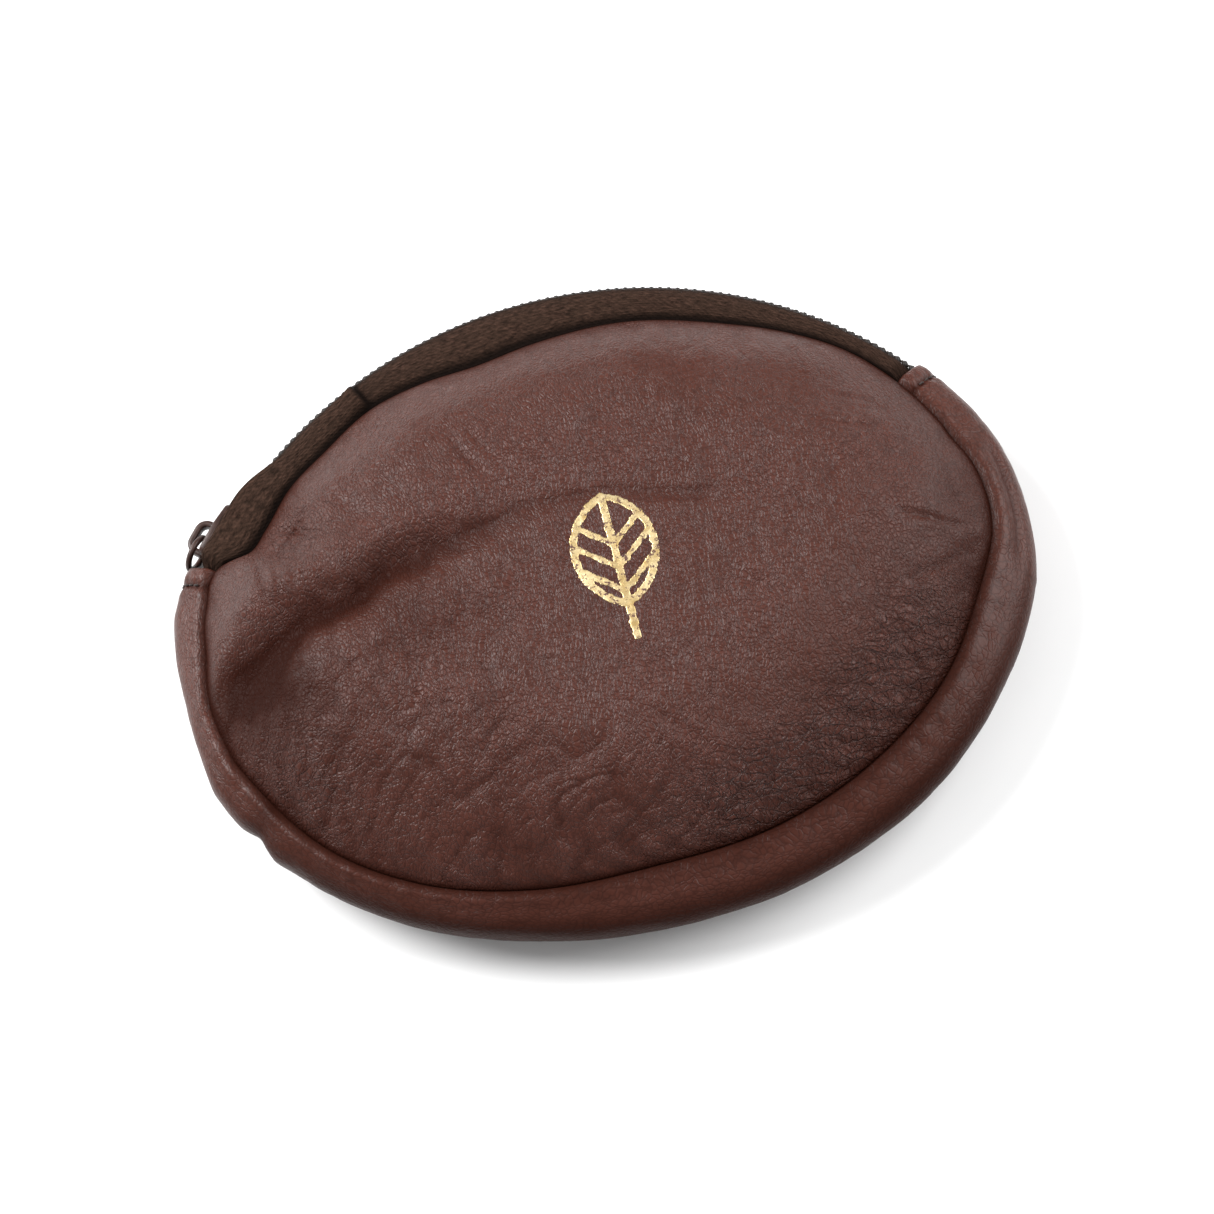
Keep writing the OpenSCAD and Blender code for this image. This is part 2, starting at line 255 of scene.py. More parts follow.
def mesh_object(name, verts, faces, material, rest=None, extra=None):
    """A mesh from points in mm, with its pattern coordinates kept in the attribute rest."""
    mesh = bpy.data.meshes.new(name)
    mesh.from_pydata((np.asarray(verts, float) * MM).tolist(), [], faces)
    mesh.update()
    obj = bpy.data.objects.new(name, mesh)
    bpy.context.scene.collection.objects.link(obj)
    for m in material if isinstance(material, list) else [material]:
        mesh.materials.append(m)
    coords = np.asarray(verts if rest is None else rest, np.float32)
    mesh.attributes.new("rest", "FLOAT_VECTOR", "POINT").data.foreach_set("vector", coords.ravel())
    for key, values in (extra or {}).items():
        layer = mesh.attributes.new(key, "FLOAT", "POINT")
        layer.data.foreach_set("value", np.asarray(values, np.float32))
    mesh.shade_smooth()
    return obj


def settle(obj, slot, *nodes, body="root"):
    """Hides the CAD parts that a piece stands for and hangs it on the empty of the body it moves with. A
    piece on the mouth gets its transform baked in instead."""
    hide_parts(*nodes)
    if body == "mouth":
        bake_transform(obj)
    else:
        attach(obj, body)


def grid_faces(rows, cols, closed_rows=False, closed_cols=False):
    faces = []
    for i in range(rows if closed_rows else rows - 1):
        for j in range(cols if closed_cols else cols - 1):
            below, right = (i + 1) % rows * cols, (j + 1) % cols
            faces.append((i * cols + j, i * cols + right, below + right, below + j))
    return faces


def wound(verts, faces, index, direction):
    """The same faces, wound so that the one at index looks along a direction."""
    a, b, c = (verts[i] for i in faces[index][:3])
    if np.dot(np.cross(b - a, c - a), direction) < 0:
        return [tuple(reversed(f)) for f in faces]
    return faces


def point_normals(verts, faces):
    v = np.asarray(verts, float)
    f = np.array([face[:4] if len(face) == 4 else (*face, face[-1]) for face in faces])
    n = np.cross(v[f[:, 2]] - v[f[:, 0]], v[f[:, 3]] - v[f[:, 1]])
    total = np.zeros_like(v)
    for k in range(4):
        np.add.at(total, f[:, k], n)
    length = np.linalg.norm(total, axis=1, keepdims=True)
    return total / np.maximum(length, 1e-12)


def thicken(verts, faces, thickness, extra=None):
    """Gives a sheet its thickness, one value or one for each point, and closes its edges."""
    v = np.asarray(verts, float)
    count = len(v)
    inner = v - point_normals(v, faces) * np.broadcast_to(thickness, (count,))[:, None]
    edges = {}
    for f in faces:
        for a, b in zip(f, f[1:] + f[:1]):
            edges[(a, b)] = edges.get((a, b), 0) + 1
    rim = [(a, b) for (a, b) in edges if (b, a) not in edges]
    back = [tuple(i + count for i in reversed(f)) for f in faces]
    sides = [(b, a, a + count, b + count) for a, b in rim]
    values = {k: np.concatenate([e, e]) for k, e in (extra or {}).items()}
    return np.vstack([v, inner]), list(faces) + back + sides, len(faces), values


def leather_sheet(name, verts, faces, thickness, materials, rest, extra):
    """A leather sheet: finished face outside, suede behind."""
    v, f, outer, values = thicken(verts, faces, thickness, extra)
    obj = mesh_object(name, v, f, materials, np.vstack([rest, rest]), values)
    index = np.ones(len(f), np.int32)
    index[:outer] = 0
    obj.data.polygons.foreach_set("material_index", index)
    return obj


def tube(points, radius, sides=8):
    """Points and faces of a round tube along a run of points in mm."""
    p = np.asarray(points, float)
    t = np.gradient(p, axis=0)
    t /= np.linalg.norm(t, axis=1, keepdims=True)
    up = np.array([0, 0, 1.0]) if abs(t[0][2]) < 0.9 else np.array([1.0, 0, 0])
    u = np.empty_like(t)
    for k in range(len(p)):
        up = up - t[k] * (up @ t[k])
        up /= np.linalg.norm(up)
        u[k] = up
    a = np.arange(sides) * 2 * math.pi / sides
    r = np.broadcast_to(np.asarray(radius, float), (len(p),))
    ring = u[:, None] * np.cos(a)[None, :, None] + np.cross(t, u)[:, None] * np.sin(a)[None, :, None]
    verts = (p[:, None] + ring * r[:, None, None]).reshape(-1, 3)
    return verts, grid_faces(len(p), sides, closed_cols=True) + end_caps(len(p), sides)


def end_caps(rows, sides):
    """The first and the last face of a closed run of rings."""
    return [tuple(reversed(range(sides))), tuple(range((rows - 1) * sides, rows * sides))]


def joined(parts):
    verts, faces, count = [], [], 0
    for v, f in parts:
        verts.append(v)
        faces += [tuple(i + count for i in face) for face in f]
        count += len(v)
    return np.vstack(verts), faces


# ---- node materials


class Nodes:
    """Short names for building one node material."""

    def __init__(self, name):
        self.mat = bpy.data.materials.new(name)
        self.mat.use_nodes = True
        self.tree = self.mat.node_tree
        self.shader = self.tree.nodes["Principled BSDF"]

    def add(self, kind, inputs=None, **props):
        node = self.tree.nodes.new(kind)
        for key, value in props.items():
            setattr(node, key, value)
        for key, value in (inputs or {}).items():
            self.set(node, key, value)
        return node

    def set(self, node, key, value):
        if isinstance(value, bpy.types.NodeSocket):
            self.tree.links.new(value, node.inputs[key])
        else:
            node.inputs[key].default_value = value

    def rest(self, scale=(1, 1, 1), turn=0.0):
        source = self.add("ShaderNodeAttribute", attribute_name="rest")
        mapping = self.add("ShaderNodeMapping", {"Vector": source.outputs["Vector"],
                                                 "Scale": scale, "Rotation": (0, 0, turn)})
        return mapping.outputs["Vector"]

    def value(self, name):
        return self.add("ShaderNodeAttribute", attribute_name=name).outputs["Fac"]

    def noise(self, vector, scale, detail=3.0, rough=0.55, distortion=0.0):
        node = self.add("ShaderNodeTexNoise", {"Vector": vector, "Scale": scale, "Detail": detail,
                                               "Roughness": rough, "Distortion": distortion})
        return node.outputs["Fac"]

    def cells(self, vector, scale, feature="DISTANCE_TO_EDGE"):
        node = self.add("ShaderNodeTexVoronoi", {"Vector": vector, "Scale": scale}, feature=feature)
        return node.outputs["Distance"]

    def math(self, operation, a, b=0.0):
        node = self.add("ShaderNodeMath", {0: a, 1: b}, operation=operation)
        return node.outputs[0]

    def fit(self, value, low, high, to_low=0.0, to_high=1.0):
        node = self.add("ShaderNodeMapRange", {"Value": value, "From Min": low, "From Max": high,
                                               "To Min": to_low, "To Max": to_high})
        return node.outputs[0]

    def mix(self, factor, a, b, blend="MIX"):
        node = self.add("ShaderNodeMix", data_type="RGBA", blend_type=blend)
        for key, value in ((0, factor), (6, a), (7, b)):
            self.set(node, key, value)
        return node.outputs[2]

    def bump(self, height, distance_mm, strength=1.0, normal=None):
        node = self.add("ShaderNodeBump", {"Height": height, "Strength": strength,
                                           "Distance": distance_mm * MM})
        if normal is not None:
            self.set(node, "Normal", normal)
        return node.outputs["Normal"]

    def finish(self, **sockets):
        for key, value in sockets.items():
            self.set(self.shader, key.replace("_", " "), value)
        return self.mat


def leather_material(name, dark, mid, pale, grain=1.0):
    """Pebbled, creased leather. It reads the attribute rest, the crackle mask and the painted shade mask,
    which darkens the colour where shade falls and lowers the specular there.
    """
    n = Nodes(name)
    warp = n.add("ShaderNodeTexNoise", {"Vector": n.rest(), "Scale": 0.45, "Detail": 3.0})
    push = n.add("ShaderNodeVectorMath", {0: warp.outputs["Color"], "Scale": 1.6},
                 operation="SCALE").outputs[0]
    bent = n.add("ShaderNodeVectorMath", {0: push, 1: n.rest()}, operation="ADD").outputs[0]
    tall = n.add("ShaderNodeMapping", {"Vector": bent, "Scale": (1.0, 0.68, 0.8),
                                       "Rotation": (0, 0, 0.12)}).outputs[0]
    wide = n.add("ShaderNodeMapping", {"Vector": bent, "Scale": (0.42, 1.0, 0.8),
                                       "Rotation": (0, 0, -0.25)}).outputs[0]
    pebble = n.cells(tall, 2.15)
    fine = n.cells(tall, 4.4)
    pores = n.noise(n.rest((1, 0.6, 1)), 6.0, 2.0)
    strands = n.noise(n.rest((1, 0.4, 1), 0.15), 0.32, 4.0, 0.6, 0.5)
    lines = n.fit(n.math("ABSOLUTE", n.math("SUBTRACT", strands, 0.5)), 0.0, 0.030)
    mottle = n.noise(n.rest(), 0.09, 4.0)
    patch = n.noise(n.rest(), 0.45, 4.0, 0.65)
    crackle = n.value("crackle")
    cracks = n.math("MINIMUM", n.fit(n.cells(wide, 0.80), 0.0, 0.10),
                    n.fit(n.cells(tall, 1.1), 0.0, 0.08, 0.25, 1.0))

    tone = n.mix(n.fit(mottle, 0.35, 0.65), mid, pale)
    tone = n.mix(n.fit(patch, 0.42, 0.72, 0.0, 0.5), tone, mid)
    # painted shade: the painted shade mask darkens the leather towards dark in folds, creases, seam
    # grooves and on sides facing away from the light
    tone = n.mix(n.fit(n.value("hollow"), 0.05, 1.0, 0.0, 0.9), tone, dark)
    tone = n.mix(n.fit(pebble, 0.0, 0.14, 0.50, 0.0), tone, dark)
    tone = n.mix(n.fit(lines, 0.0, 1.0, 0.25, 0.0), tone, dark)
    tone = n.mix(n.math("MULTIPLY", crackle, n.fit(cracks, 0.0, 1.0, 0.42, 0.0)), tone, dark)

    height = n.math("ADD", n.fit(pebble, 0.0, 0.22), n.math("MULTIPLY", fine, 0.7))
    height = n.math("ADD", height, n.math("MULTIPLY", pores, 0.4))
    strength = n.math("ADD", n.fit(mottle, 0.40, 0.62, 0.55, 1.0), n.math("MULTIPLY", crackle, 0.2))
    normal = n.bump(height, 0.074 * grain, strength)
    normal = n.bump(lines, 0.05 * grain, 0.6, normal)
    normal = n.bump(n.math("MULTIPLY", cracks, crackle), 0.17, 0.95, normal)
    gloss = n.math("ADD", n.math("MULTIPLY", pores, 0.4), n.math("MULTIPLY", patch, 0.6))
    return n.finish(Base_Color=tone, Roughness=n.fit(gloss, 0.3, 0.7, 0.31, 0.44), Normal=normal,
                    Specular_IOR_Level=n.fit(n.value("hollow"), 0.1, 0.9, 0.21, 0.03))


def suede_material():
    n = Nodes("leather_suede_side")
    fuzz = n.noise(n.rest(), 7.0, 5.0, 0.7)
    tone = n.mix(n.fit(fuzz, 0.3, 0.7), (0.075, 0.042, 0.028, 1), (0.17, 0.105, 0.072, 1))
    return n.finish(Base_Color=tone, Roughness=0.95, Normal=n.bump(fuzz, 0.12, 0.8),
                    Sheen_Weight=0.2, Sheen_Roughness=0.6)


def tape_material():
    """Woven tape: fine diagonal ribs with fuzz. rest holds (along, across) in mm."""
    n = Nodes("tape_weave")
    ribs = n.add("ShaderNodeTexWave", {"Vector": n.rest((1, 1, 1), 0.9), "Scale": 0.55,
                                       "Distortion": 1.6, "Detail": 2.0, "Detail Scale": 2.0},
                 bands_direction="X").outputs["Fac"]
    picks = n.add("ShaderNodeTexWave", {"Vector": n.rest(), "Scale": 0.75, "Distortion": 1.2,
                                        "Detail": 1.0}, bands_direction="Y").outputs["Fac"]
    fuzz = n.noise(n.rest((0.5, 1.6, 1)), 1.5, 5.0, 0.78)
    shade = n.noise(n.rest(), 0.35, 3.0)
    weave = n.math("ADD", n.math("MULTIPLY", ribs, 0.6), n.math("MULTIPLY", picks, 0.4))
    tone = n.mix(n.fit(fuzz, 0.38, 0.66), (0.009, 0.0048, 0.0035, 1), (0.078, 0.042, 0.030, 1))
    tone = n.mix(n.fit(weave, 0.2, 0.9, 0.35, 0.0), tone, (0.012, 0.008, 0.0055, 1))
    tone = n.mix(n.fit(shade, 0.3, 0.7, 0.0, 0.4), tone, (0.026, 0.016, 0.011, 1))
    # painted shade: near-black where the tape's painted shade mask is set, beside the leather, towards
    # the coil and at the kink
    tone = n.mix(n.fit(n.value("hollow"), 0.0, 1.0, 0.0, 0.93), tone, (0.004, 0.0025, 0.002, 1))
    normal = n.bump(weave, 0.07, 0.9)
    normal = n.bump(fuzz, 0.22, 0.95, normal)
    return n.finish(Base_Color=tone, Roughness=0.95, Normal=normal, Specular_IOR_Level=0.04)


def twisted_material(name, scale, detail, dark, pale, roughness, depth):
    n = Nodes(name)
    twist = n.noise(n.rest((1, 1, 1), 0.8), scale, detail)
    return n.finish(Base_Color=n.mix(twist, dark, pale), Roughness=roughness,
                    Normal=n.bump(twist, depth, 0.6))


def coil_material():
    n = Nodes("coil_nylon")
    wear = n.noise(n.rest(), 1.6, 3.0)
    tone = n.mix(n.fit(wear, 0.35, 0.7), (0.006, 0.005, 0.0045, 1), (0.026, 0.018, 0.014, 1))
    return n.finish(Base_Color=tone, Roughness=n.fit(wear, 0.3, 0.7, 0.42, 0.6),
                    Normal=n.bump(wear, 0.02, 0.4), Specular_IOR_Level=0.35)


def enamel_material():
    n = Nodes("slider_enamel")
    wear = n.noise(n.rest(), 0.9, 4.0, 0.6)
    speck = n.noise(n.rest(), 5.0, 3.0)
    tone = n.mix(n.fit(wear, 0.35, 0.65), (0.026, 0.011, 0.008, 1), (0.050, 0.024, 0.018, 1))
    return n.finish(Base_Color=tone, Roughness=n.fit(speck, 0.3, 0.7, 0.32, 0.48),
                    Normal=n.bump(speck, 0.015, 0.5), Specular_IOR_Level=0.32)


def foil_material():
    """Stamped foil, worn through to the leather in specks."""
    n = Nodes("gold_foil")
    worn = n.noise(n.rest(), 1.9, 5.0, 0.72)
    specks = n.cells(n.rest(), 3.4, "F1")
    gone = n.math("MAXIMUM", n.fit(worn, 0.53, 0.59), n.fit(specks, 0.17, 0.10, 0.0, 0.8))
    dull = n.noise(n.rest(), 0.8, 3.0)
    gold = n.mix(n.fit(dull, 0.3, 0.7), (0.48, 0.33, 0.13, 1), (0.80, 0.65, 0.37, 1))
    tone = n.mix(gone, gold, (0.075, 0.027, 0.018, 1))
    return n.finish(Base_Color=tone, Metallic=n.math("MULTIPLY", n.math("SUBTRACT", 1.0, gone), 0.75),
                    Roughness=n.fit(worn, 0.3, 0.7, 0.28, 0.5), Normal=n.bump(worn, 0.05, 0.7))


def floor_material():
    n = Nodes("floor_pale")
    position = n.add("ShaderNodeTexCoord").outputs["Object"]
    faint = n.noise(position, 60.0, 3.0)
    tone = n.mix(faint, (0.89, 0.89, 0.89, 1), (0.93, 0.93, 0.93, 1))
    return n.finish(Base_Color=tone, Roughness=0.9)


PANEL_LEATHER = leather_material("panel_leather_finish", (0.0170, 0.0046, 0.0028, 1),
                                 (0.0550, 0.0160, 0.0101, 1), (0.0680, 0.0214, 0.0146, 1))
GUSSET_LEATHER = leather_material("gusset_leather_finish", (0.0160, 0.0044, 0.0026, 1),
                                  (0.0590, 0.0168, 0.0104, 1), (0.0740, 0.0232, 0.0158, 1), 0.5)
SUEDE = suede_material()
TAPE = tape_material()
THREAD = twisted_material("sewing_thread", 6.0, 2.0, (0.010, 0.006, 0.005, 1),
                          (0.036, 0.021, 0.017, 1), 0.75, 0.05)
CORD = twisted_material("filler_cord_cotton", 4.0, 3.0, (0.20, 0.17, 0.13, 1),
                        (0.42, 0.37, 0.30, 1), 0.9, 0.06)
COIL = coil_material()
ENAMEL = enamel_material()
FOIL = foil_material()

# ---- the front panel

MAIN_FOLD = [(-50, -3.5), (-44, 0), (-37, 2.8), (-28.5, 5), (-17, 8), (-6, 9.6), (3.5, 9.2),
             (15, 6), (24, 3)]
CROWN_INSET = 26.0       # inset at which the front panel's dome is level
CROWN_SPARE = 0.6        # how far a wrinkle may stand above the CAD panel's top
EDGE_H = 0.4             # half of the rolled edge of a panel at its seam
EDGE_T = 0.35            # thickness of the leather where its edge is thinned for the seam
TURNED = ((-0.11, 0.24), (-0.08, 0.1), (0.1, 0.01), (0.5, 0), (1.5, 0), (ALLOWANCE, 0))
FRONT_SWELLS = ((0.9, -42.5, 11, 4.5, 6.0), (-0.75, -43.5, -4.5, 5.5, 3.5),
                (0.75, -35.5, -12.5, 5.5, 4.8), (0.35, -22, -11, 9, 6), (-0.55, -35, 16.5, 2.6, 3.2),
                (0.4, -31, 20, 3.5, 3.5), (-0.30, -27, 14, 4.5, 2.2), (0.45, -21, 21, 8, 5),
                (-0.45, 46.5, -1, 2.5, 5), (-0.4, 46, -10.5, 3, 4), (-0.4, 38, 3, 5, 3),
                (0.3, 34, -6, 6, 4), (-0.35, 14, -22, 14, 5), (-0.3, -12, -24, 10, 4))
FRONT_FOLDS = (((-39, 19), (-31, 13), 0.55, -0.35), ((-38, 13), (-32, 20), 0.5, -0.3),
               ((-41, 15), (-40, 6), 0.5, -0.28), ((-38.5, 12), (-38, 4), 0.45, -0.25),
               ((-36.5, 10), (-36, 5), 0.4, -0.2), ((-14, 23), (-9, 13), 0.5, -0.22),
               ((-11.5, 24), (-7, 14), 0.4, -0.18), ((-16, -9), (-13, -20), 0.45, -0.2),
               ((-13, -11), (-11, -18), 0.35, -0.15), ((-20, -3), (-26, -14), 0.5, -0.16),
               ((30, 12), (42, 8), 0.6, -0.2), ((34, 15), (40, 13), 0.5, -0.15),
               ((16, -6), (24, -12), 0.8, -0.14), ((0, -18), (12, -30), 0.7, -0.16),
               ((38, -3), (47, -6), 0.6, -0.3), ((37, -12), (46, -9), 0.6, -0.28))
# blobs of painted shade on the front leather: (amount, x, y, x radius, y radius)
FRONT_SHADES = ((0.90, -43.0, -5, 7.5, 5.5), (0.30, -20, -2, 9, 5), (0.35, 46.5, -2, 3, 4),
                (0.35, 46, -11, 3, 4))
CRACKED_LOW = ((1.5, 36, -24, 14, 12), (1.5, 18, -34, 14, 7))
CRACKED_LEFT = ((0.6, -41, -16, 8, 10), (0.5, -37, 14, 8, 8))
CREASED_LOW = ((1, -30, -18, 20, 14), (1, -4, -30, 16, 8))
STAMP_FLAT = ((0.45, 3.5, -1, 11, 13),)
BACK_FOLDS = (((-30, 14), (-8, 22), 1.3, 0.30), ((10, -20), (30, -12), 1.4, 0.28),
              ((-36, -10), (-20, -20), 1.0, 0.25), ((18, 20), (38, 10), 1.2, 0.25),
              ((-10, -4), (12, 6), 2.0, 0.22))
CRACKED_BACK = ((0.5, 34, 12, 14, 12), (0.5, -30, -16, 12, 10))


def dome(x, y):
    """The smooth puffed shape of the front panel above the table."""
    d, alpha = inset_and_angle(x, y)
    e = np.maximum(d - seam_inset(alpha), 0)
    share = np.clip(e / (CROWN_INSET - seam_inset(alpha)), 0, 1)
    power = 2.1 + 0.35 * np.sin(np.radians(alpha))
    shoulder = 0.80 + 0.20 * np.sin(np.radians(alpha))
    z = FRONT_Z + EDGE_H + (shoulder - EDGE_H) * (1 - np.exp(-e / 0.6))
    return z + (TOP_Z - FRONT_Z - shoulder) * (1 - (1 - share) ** power), e, alpha


def main_fold(x, y):
    """The long fold from the left seam across to the stamp: a ridge, a drop and a valley, with painted
    shade for the valley and its crease line.
    """
    share, side = along_line(x, y, MAIN_FOLD)
    wobble = 0.5 * fractal(x / 6, y / 6, 61)
    side = side + wobble
    strong = 1 - smooth((share - 0.28) / 0.42)
    faint = 0.20 * (1 - smooth((share - 0.86) / 0.14))
    size = np.maximum(strong, faint) * smooth((share + 0.02) / 0.10)
    width = 1.2 + 1.7 * strong
    shape = 1.1 * bell(side - 5.0, 3.3) - 1.65 * bell(side + 0.4, width) + 0.40 * bell(side + 8.5, 4.0)
    line = bell(side - 0.3 * wobble, 0.55)
    line = line * smooth((share - 0.40) / 0.14) * (1 - smooth((share - 0.66) / 0.34))
    # painted shade along the fold's valley and its crease line, returned as the second value
    shade = 0.95 * size ** 0.8 * bell(side + 0.7, 0.85 * width)
    return size * shape - 0.17 * line, shade + 0.28 * line


def short_folds(x, y, rows):
    """Sum of straight folds: (from, to, width, height)."""
    total = 0.0
    for a, b, width, height in rows:
        share, side = along_line(x, y, [a, b])
        total = total + height * bell(side, width) * np.sin(np.pi * np.clip(share, 0.02, 0.98))
    return total


def front_relief(x, y, e, alpha):
    """Folds, dents and wrinkles of the front leather in mm, with its painted shade mask and its crackle
    mask.
    """
    fold, fold_shade = main_fold(x, y)
    crackle = blobs(x, y, CRACKED_LOW) * smooth((16 - e) / 10) + blobs(x, y, CRACKED_LEFT)
    crackle = np.clip(crackle, 0, 1)
    bend = 2.2 * fractal(x / 15, y / 15, 85)
    tall = creases((x + bend) / 4.6, (y - bend) / 10.0, 81)
    slanted = creases((0.8 * x + 0.6 * y + bend) / 7.5, (0.8 * y - 0.6 * x + bend) / 3.0, 88)
    lines = (0.55 * crackle * creases((x + bend) / 4.4, (y + 0.3 * x) / 2.3, 71)
             + (0.35 + 0.35 * smooth(fractal(x / 18, y / 18, 83))) * tall
             + 1.05 * np.clip(blobs(x, y, CREASED_LOW), 0, 1) * slanted)

    s = arc_length(alpha)
    near_seam = np.exp(-e / 3.6) * smooth(e / 0.8)
    pucker = np.sin(s * 1.15 + 1.3 * e + 2.2 * value_noise(s / 9, s * 0, 91))
    low_rim = smooth((-np.sin(np.radians(alpha)) - 0.1) / 0.5)
    relief = (fold + blobs(x, y, FRONT_SWELLS) + 1.4 * short_folds(x, y, FRONT_FOLDS) + 0.20 * lines
              + (0.10 + 0.22 * low_rim) * near_seam * pucker + 0.22 * fractal(x / 11, y / 9, 101)
              + 0.09 * fractal(x / 3.2, y / 4.0, 111) + 0.03 * fractal(x / 1.1, y / 1.7, 121))
    # painted shade: darker in the fold, in crease valleys, in the shade blobs, along the seam groove and
    # near the lower rim
    hollow = (fold_shade * (1 - 0.35 * smooth((x + 20) / 20)) - 0.20 * lines
              + blobs(x, y, FRONT_SHADES) + 0.80 * np.exp(-e / 0.8) + 0.10 * low_rim * np.exp(-e / 5.0))
    return relief * smooth(e / 1.6), np.clip(hollow, 0, 1), crackle


def front_height(x, y):
    z, e, alpha = dome(x, y)
    relief, hollow, crackle = front_relief(x, y, e, alpha)
    level = z + relief * (1 - blobs(x, y, STAMP_FLAT))
    return np.minimum(level, TOP_Z + CROWN_SPARE), hollow, crackle


def disc_grid(n):
    """A square grid spread over a disc: share of the radius and angle of every point."""
    p, q = np.meshgrid(np.linspace(-1, 1, n), np.linspace(-1, 1, n), indexing="ij")
    u, v = p * np.sqrt(1 - q * q / 2), q * np.sqrt(1 - p * p / 2)
    return np.hypot(u, v), np.degrees(np.arctan2(v, u))


def grid_border(n):
    """Indices of the grid's edge points, in order round it."""
    idx = np.arange(n * n).reshape(n, n)
    return np.concatenate([idx[:-1, 0], idx[-1, :-1], idx[:0:-1, -1], idx[0, :0:-1]])


def panel_mesh(n, height, turned):
    """A panel: the field inside its seam, then rings that turn the edge in. height gives z, the painted
    shade mask and the crackle mask, and turned the (inset, z) steps of the turned edge."""
    share, alpha = disc_grid(n)
    bx, by = rim_point(alpha, seam_inset(alpha))
    x, y = (share * bx).ravel(), (share * by).ravel()
    z, hollow, crackle = height(x, y)
    verts = [np.column_stack([x, y, z])]
    faces = grid_faces(n, n)
    previous = grid_border(n)
    ring_alpha = alpha.ravel()[previous]
    width = len(previous)
    for k, (step, level) in enumerate(turned):
        rx, ry = rim_point(ring_alpha, seam_inset(ring_alpha) + step)
        verts.append(np.column_stack([rx, ry, np.full(width, level)]))
        ring = np.arange(width) + n * n + k * width
        quads = np.column_stack([previous, np.roll(previous, -1), np.roll(ring, -1), ring])
        faces += [tuple(quad) for quad in quads.tolist()]
        previous = ring
    more = width * len(turned)
    # the turned edge rings get full painted shade and no crackle
    return np.vstack(verts), faces, np.append(hollow, np.ones(more)), np.append(crackle, np.zeros(more))


def skived(verts, field):
    """Thickness of a panel: thinned at its edge, where it is turned in at the seam."""
    d, alpha = inset_and_angle(verts[:, 0], verts[:, 1])
    e = np.where(np.arange(len(verts)) < field, d - seam_inset(alpha), 0)
    return EDGE_T + (PANEL_T - EDGE_T) * smooth((e - 0.3) / 2.5)


def panel(side, height, quality):
    """One sheet of leather, its edge turned in at the seam: front for side 1, back for side -1."""
    seam_z = RIM_Z + side * RIM_HALF
    turned = [(step, seam_z + side * rise) for step, rise in TURNED]
    verts, faces, hollow, crackle = panel_mesh(quality, height, turned)
    faces = wound(verts, faces, len(faces) // 3, (0, 0, side))
    rest = verts * (1, 1, 0.6) + (100 - 100 * side, 0, 0)
    name = "front_panel_leather" if side > 0 else "back_panel_leather"
    return leather_sheet(name, verts, faces, skived(verts, quality ** 2), [PANEL_LEATHER, SUEDE],
                         rest, {"hollow": hollow, "crackle": crackle})


def front_panel():
    obj = panel(1, front_height, 340)
    settle(obj, "panel_leather", "front_panel", "front_panel_mouth", body="mouth")


# ---- the back panel


def back_height(x, y):
    """Flat where it rests on the table, rising to the back seam."""
    d, alpha = inset_and_angle(x, y)
    inset = seam_inset(alpha)
    e = np.maximum(d - inset, 0)
    share = np.clip(e / (17 - inset), 0, 1)
    z = BACK_Z - EDGE_H - (0.9 - EDGE_H) * (1 - np.exp(-e / 0.6))
    z = z - (BACK_Z - 0.9) * (1 - (1 - share) ** 1.9)
    s = arc_length(alpha)
    pucker = np.sin(s * 1.05 + 1.1 * e + 2.0 * value_noise(s / 8, s * 0, 231))
    wrinkle = (0.16 * fractal(x / 10, y / 8, 201) + 0.05 * creases(x / 4, y / 6, 211)
               + 0.05 * fractal(x / 2.6, y / 3.1, 221) + short_folds(x, y, BACK_FOLDS)
               + 0.14 * np.exp(-e / 3.2) * smooth(e / 0.8) * pucker)
    # painted shade: darker next to the seam and in the wrinkles' valleys
    hollow = np.clip(0.5 * np.exp(-e / 1.0) + 0.2 * smooth(-wrinkle * 3), 0, 1)
    crackle = np.clip(blobs(x, y, CRACKED_BACK), 0, 1)
    level = z + smooth((e - 0.5) / 4) * wrinkle
    return (level + np.hypot(level, 0.12)) / 2, hollow, crackle


def back_panel():
    settle(panel(-1, back_height, 180), "panel_leather", "back_panel")


# ---- the gusset strip

BULGE_POWER = 2.5        # power of the oval that the strip bulges in
CROWN = 0.5              # height of the soft roll beside each seam
LEFT_CORNER, RIGHT_DENT = 216.0, 22.0
# The strip turned under at a hem: (distance before the hem, depth below the outer face).
HEM_FOLD = ((2.6, 1.5), (1.2, 1.5), (0.4, 1.45), (-0.05, 1.25), (-0.32, 0.95), (-0.38, 0.7),
            (-0.32, 0.42), (-0.15, 0.16))


def hem_alpha(side):
    return 90 + side * HEMS[side]


def gusset_point(alpha, a, depth):
    """A point of the gusset at normal angle alpha and section angle a (-90 back seam,
    90 front seam), at a depth below its outer face."""
    outer, seam = outer_inset(alpha), seam_inset(alpha)
    ca, sa = np.cos(np.radians(a)), np.sin(np.radians(a))
    out = np.abs(ca) ** (2 / BULGE_POWER)
    up = np.sign(sa) * np.abs(sa) ** (2 / BULGE_POWER)
    inset = seam - (seam - outer - depth) * out
    crown = CROWN * bell(np.abs(inset - seam) - 1.25, 0.85)
    return inset, RIM_Z + up * (RIM_HALF - depth) + np.sign(sa) * crown


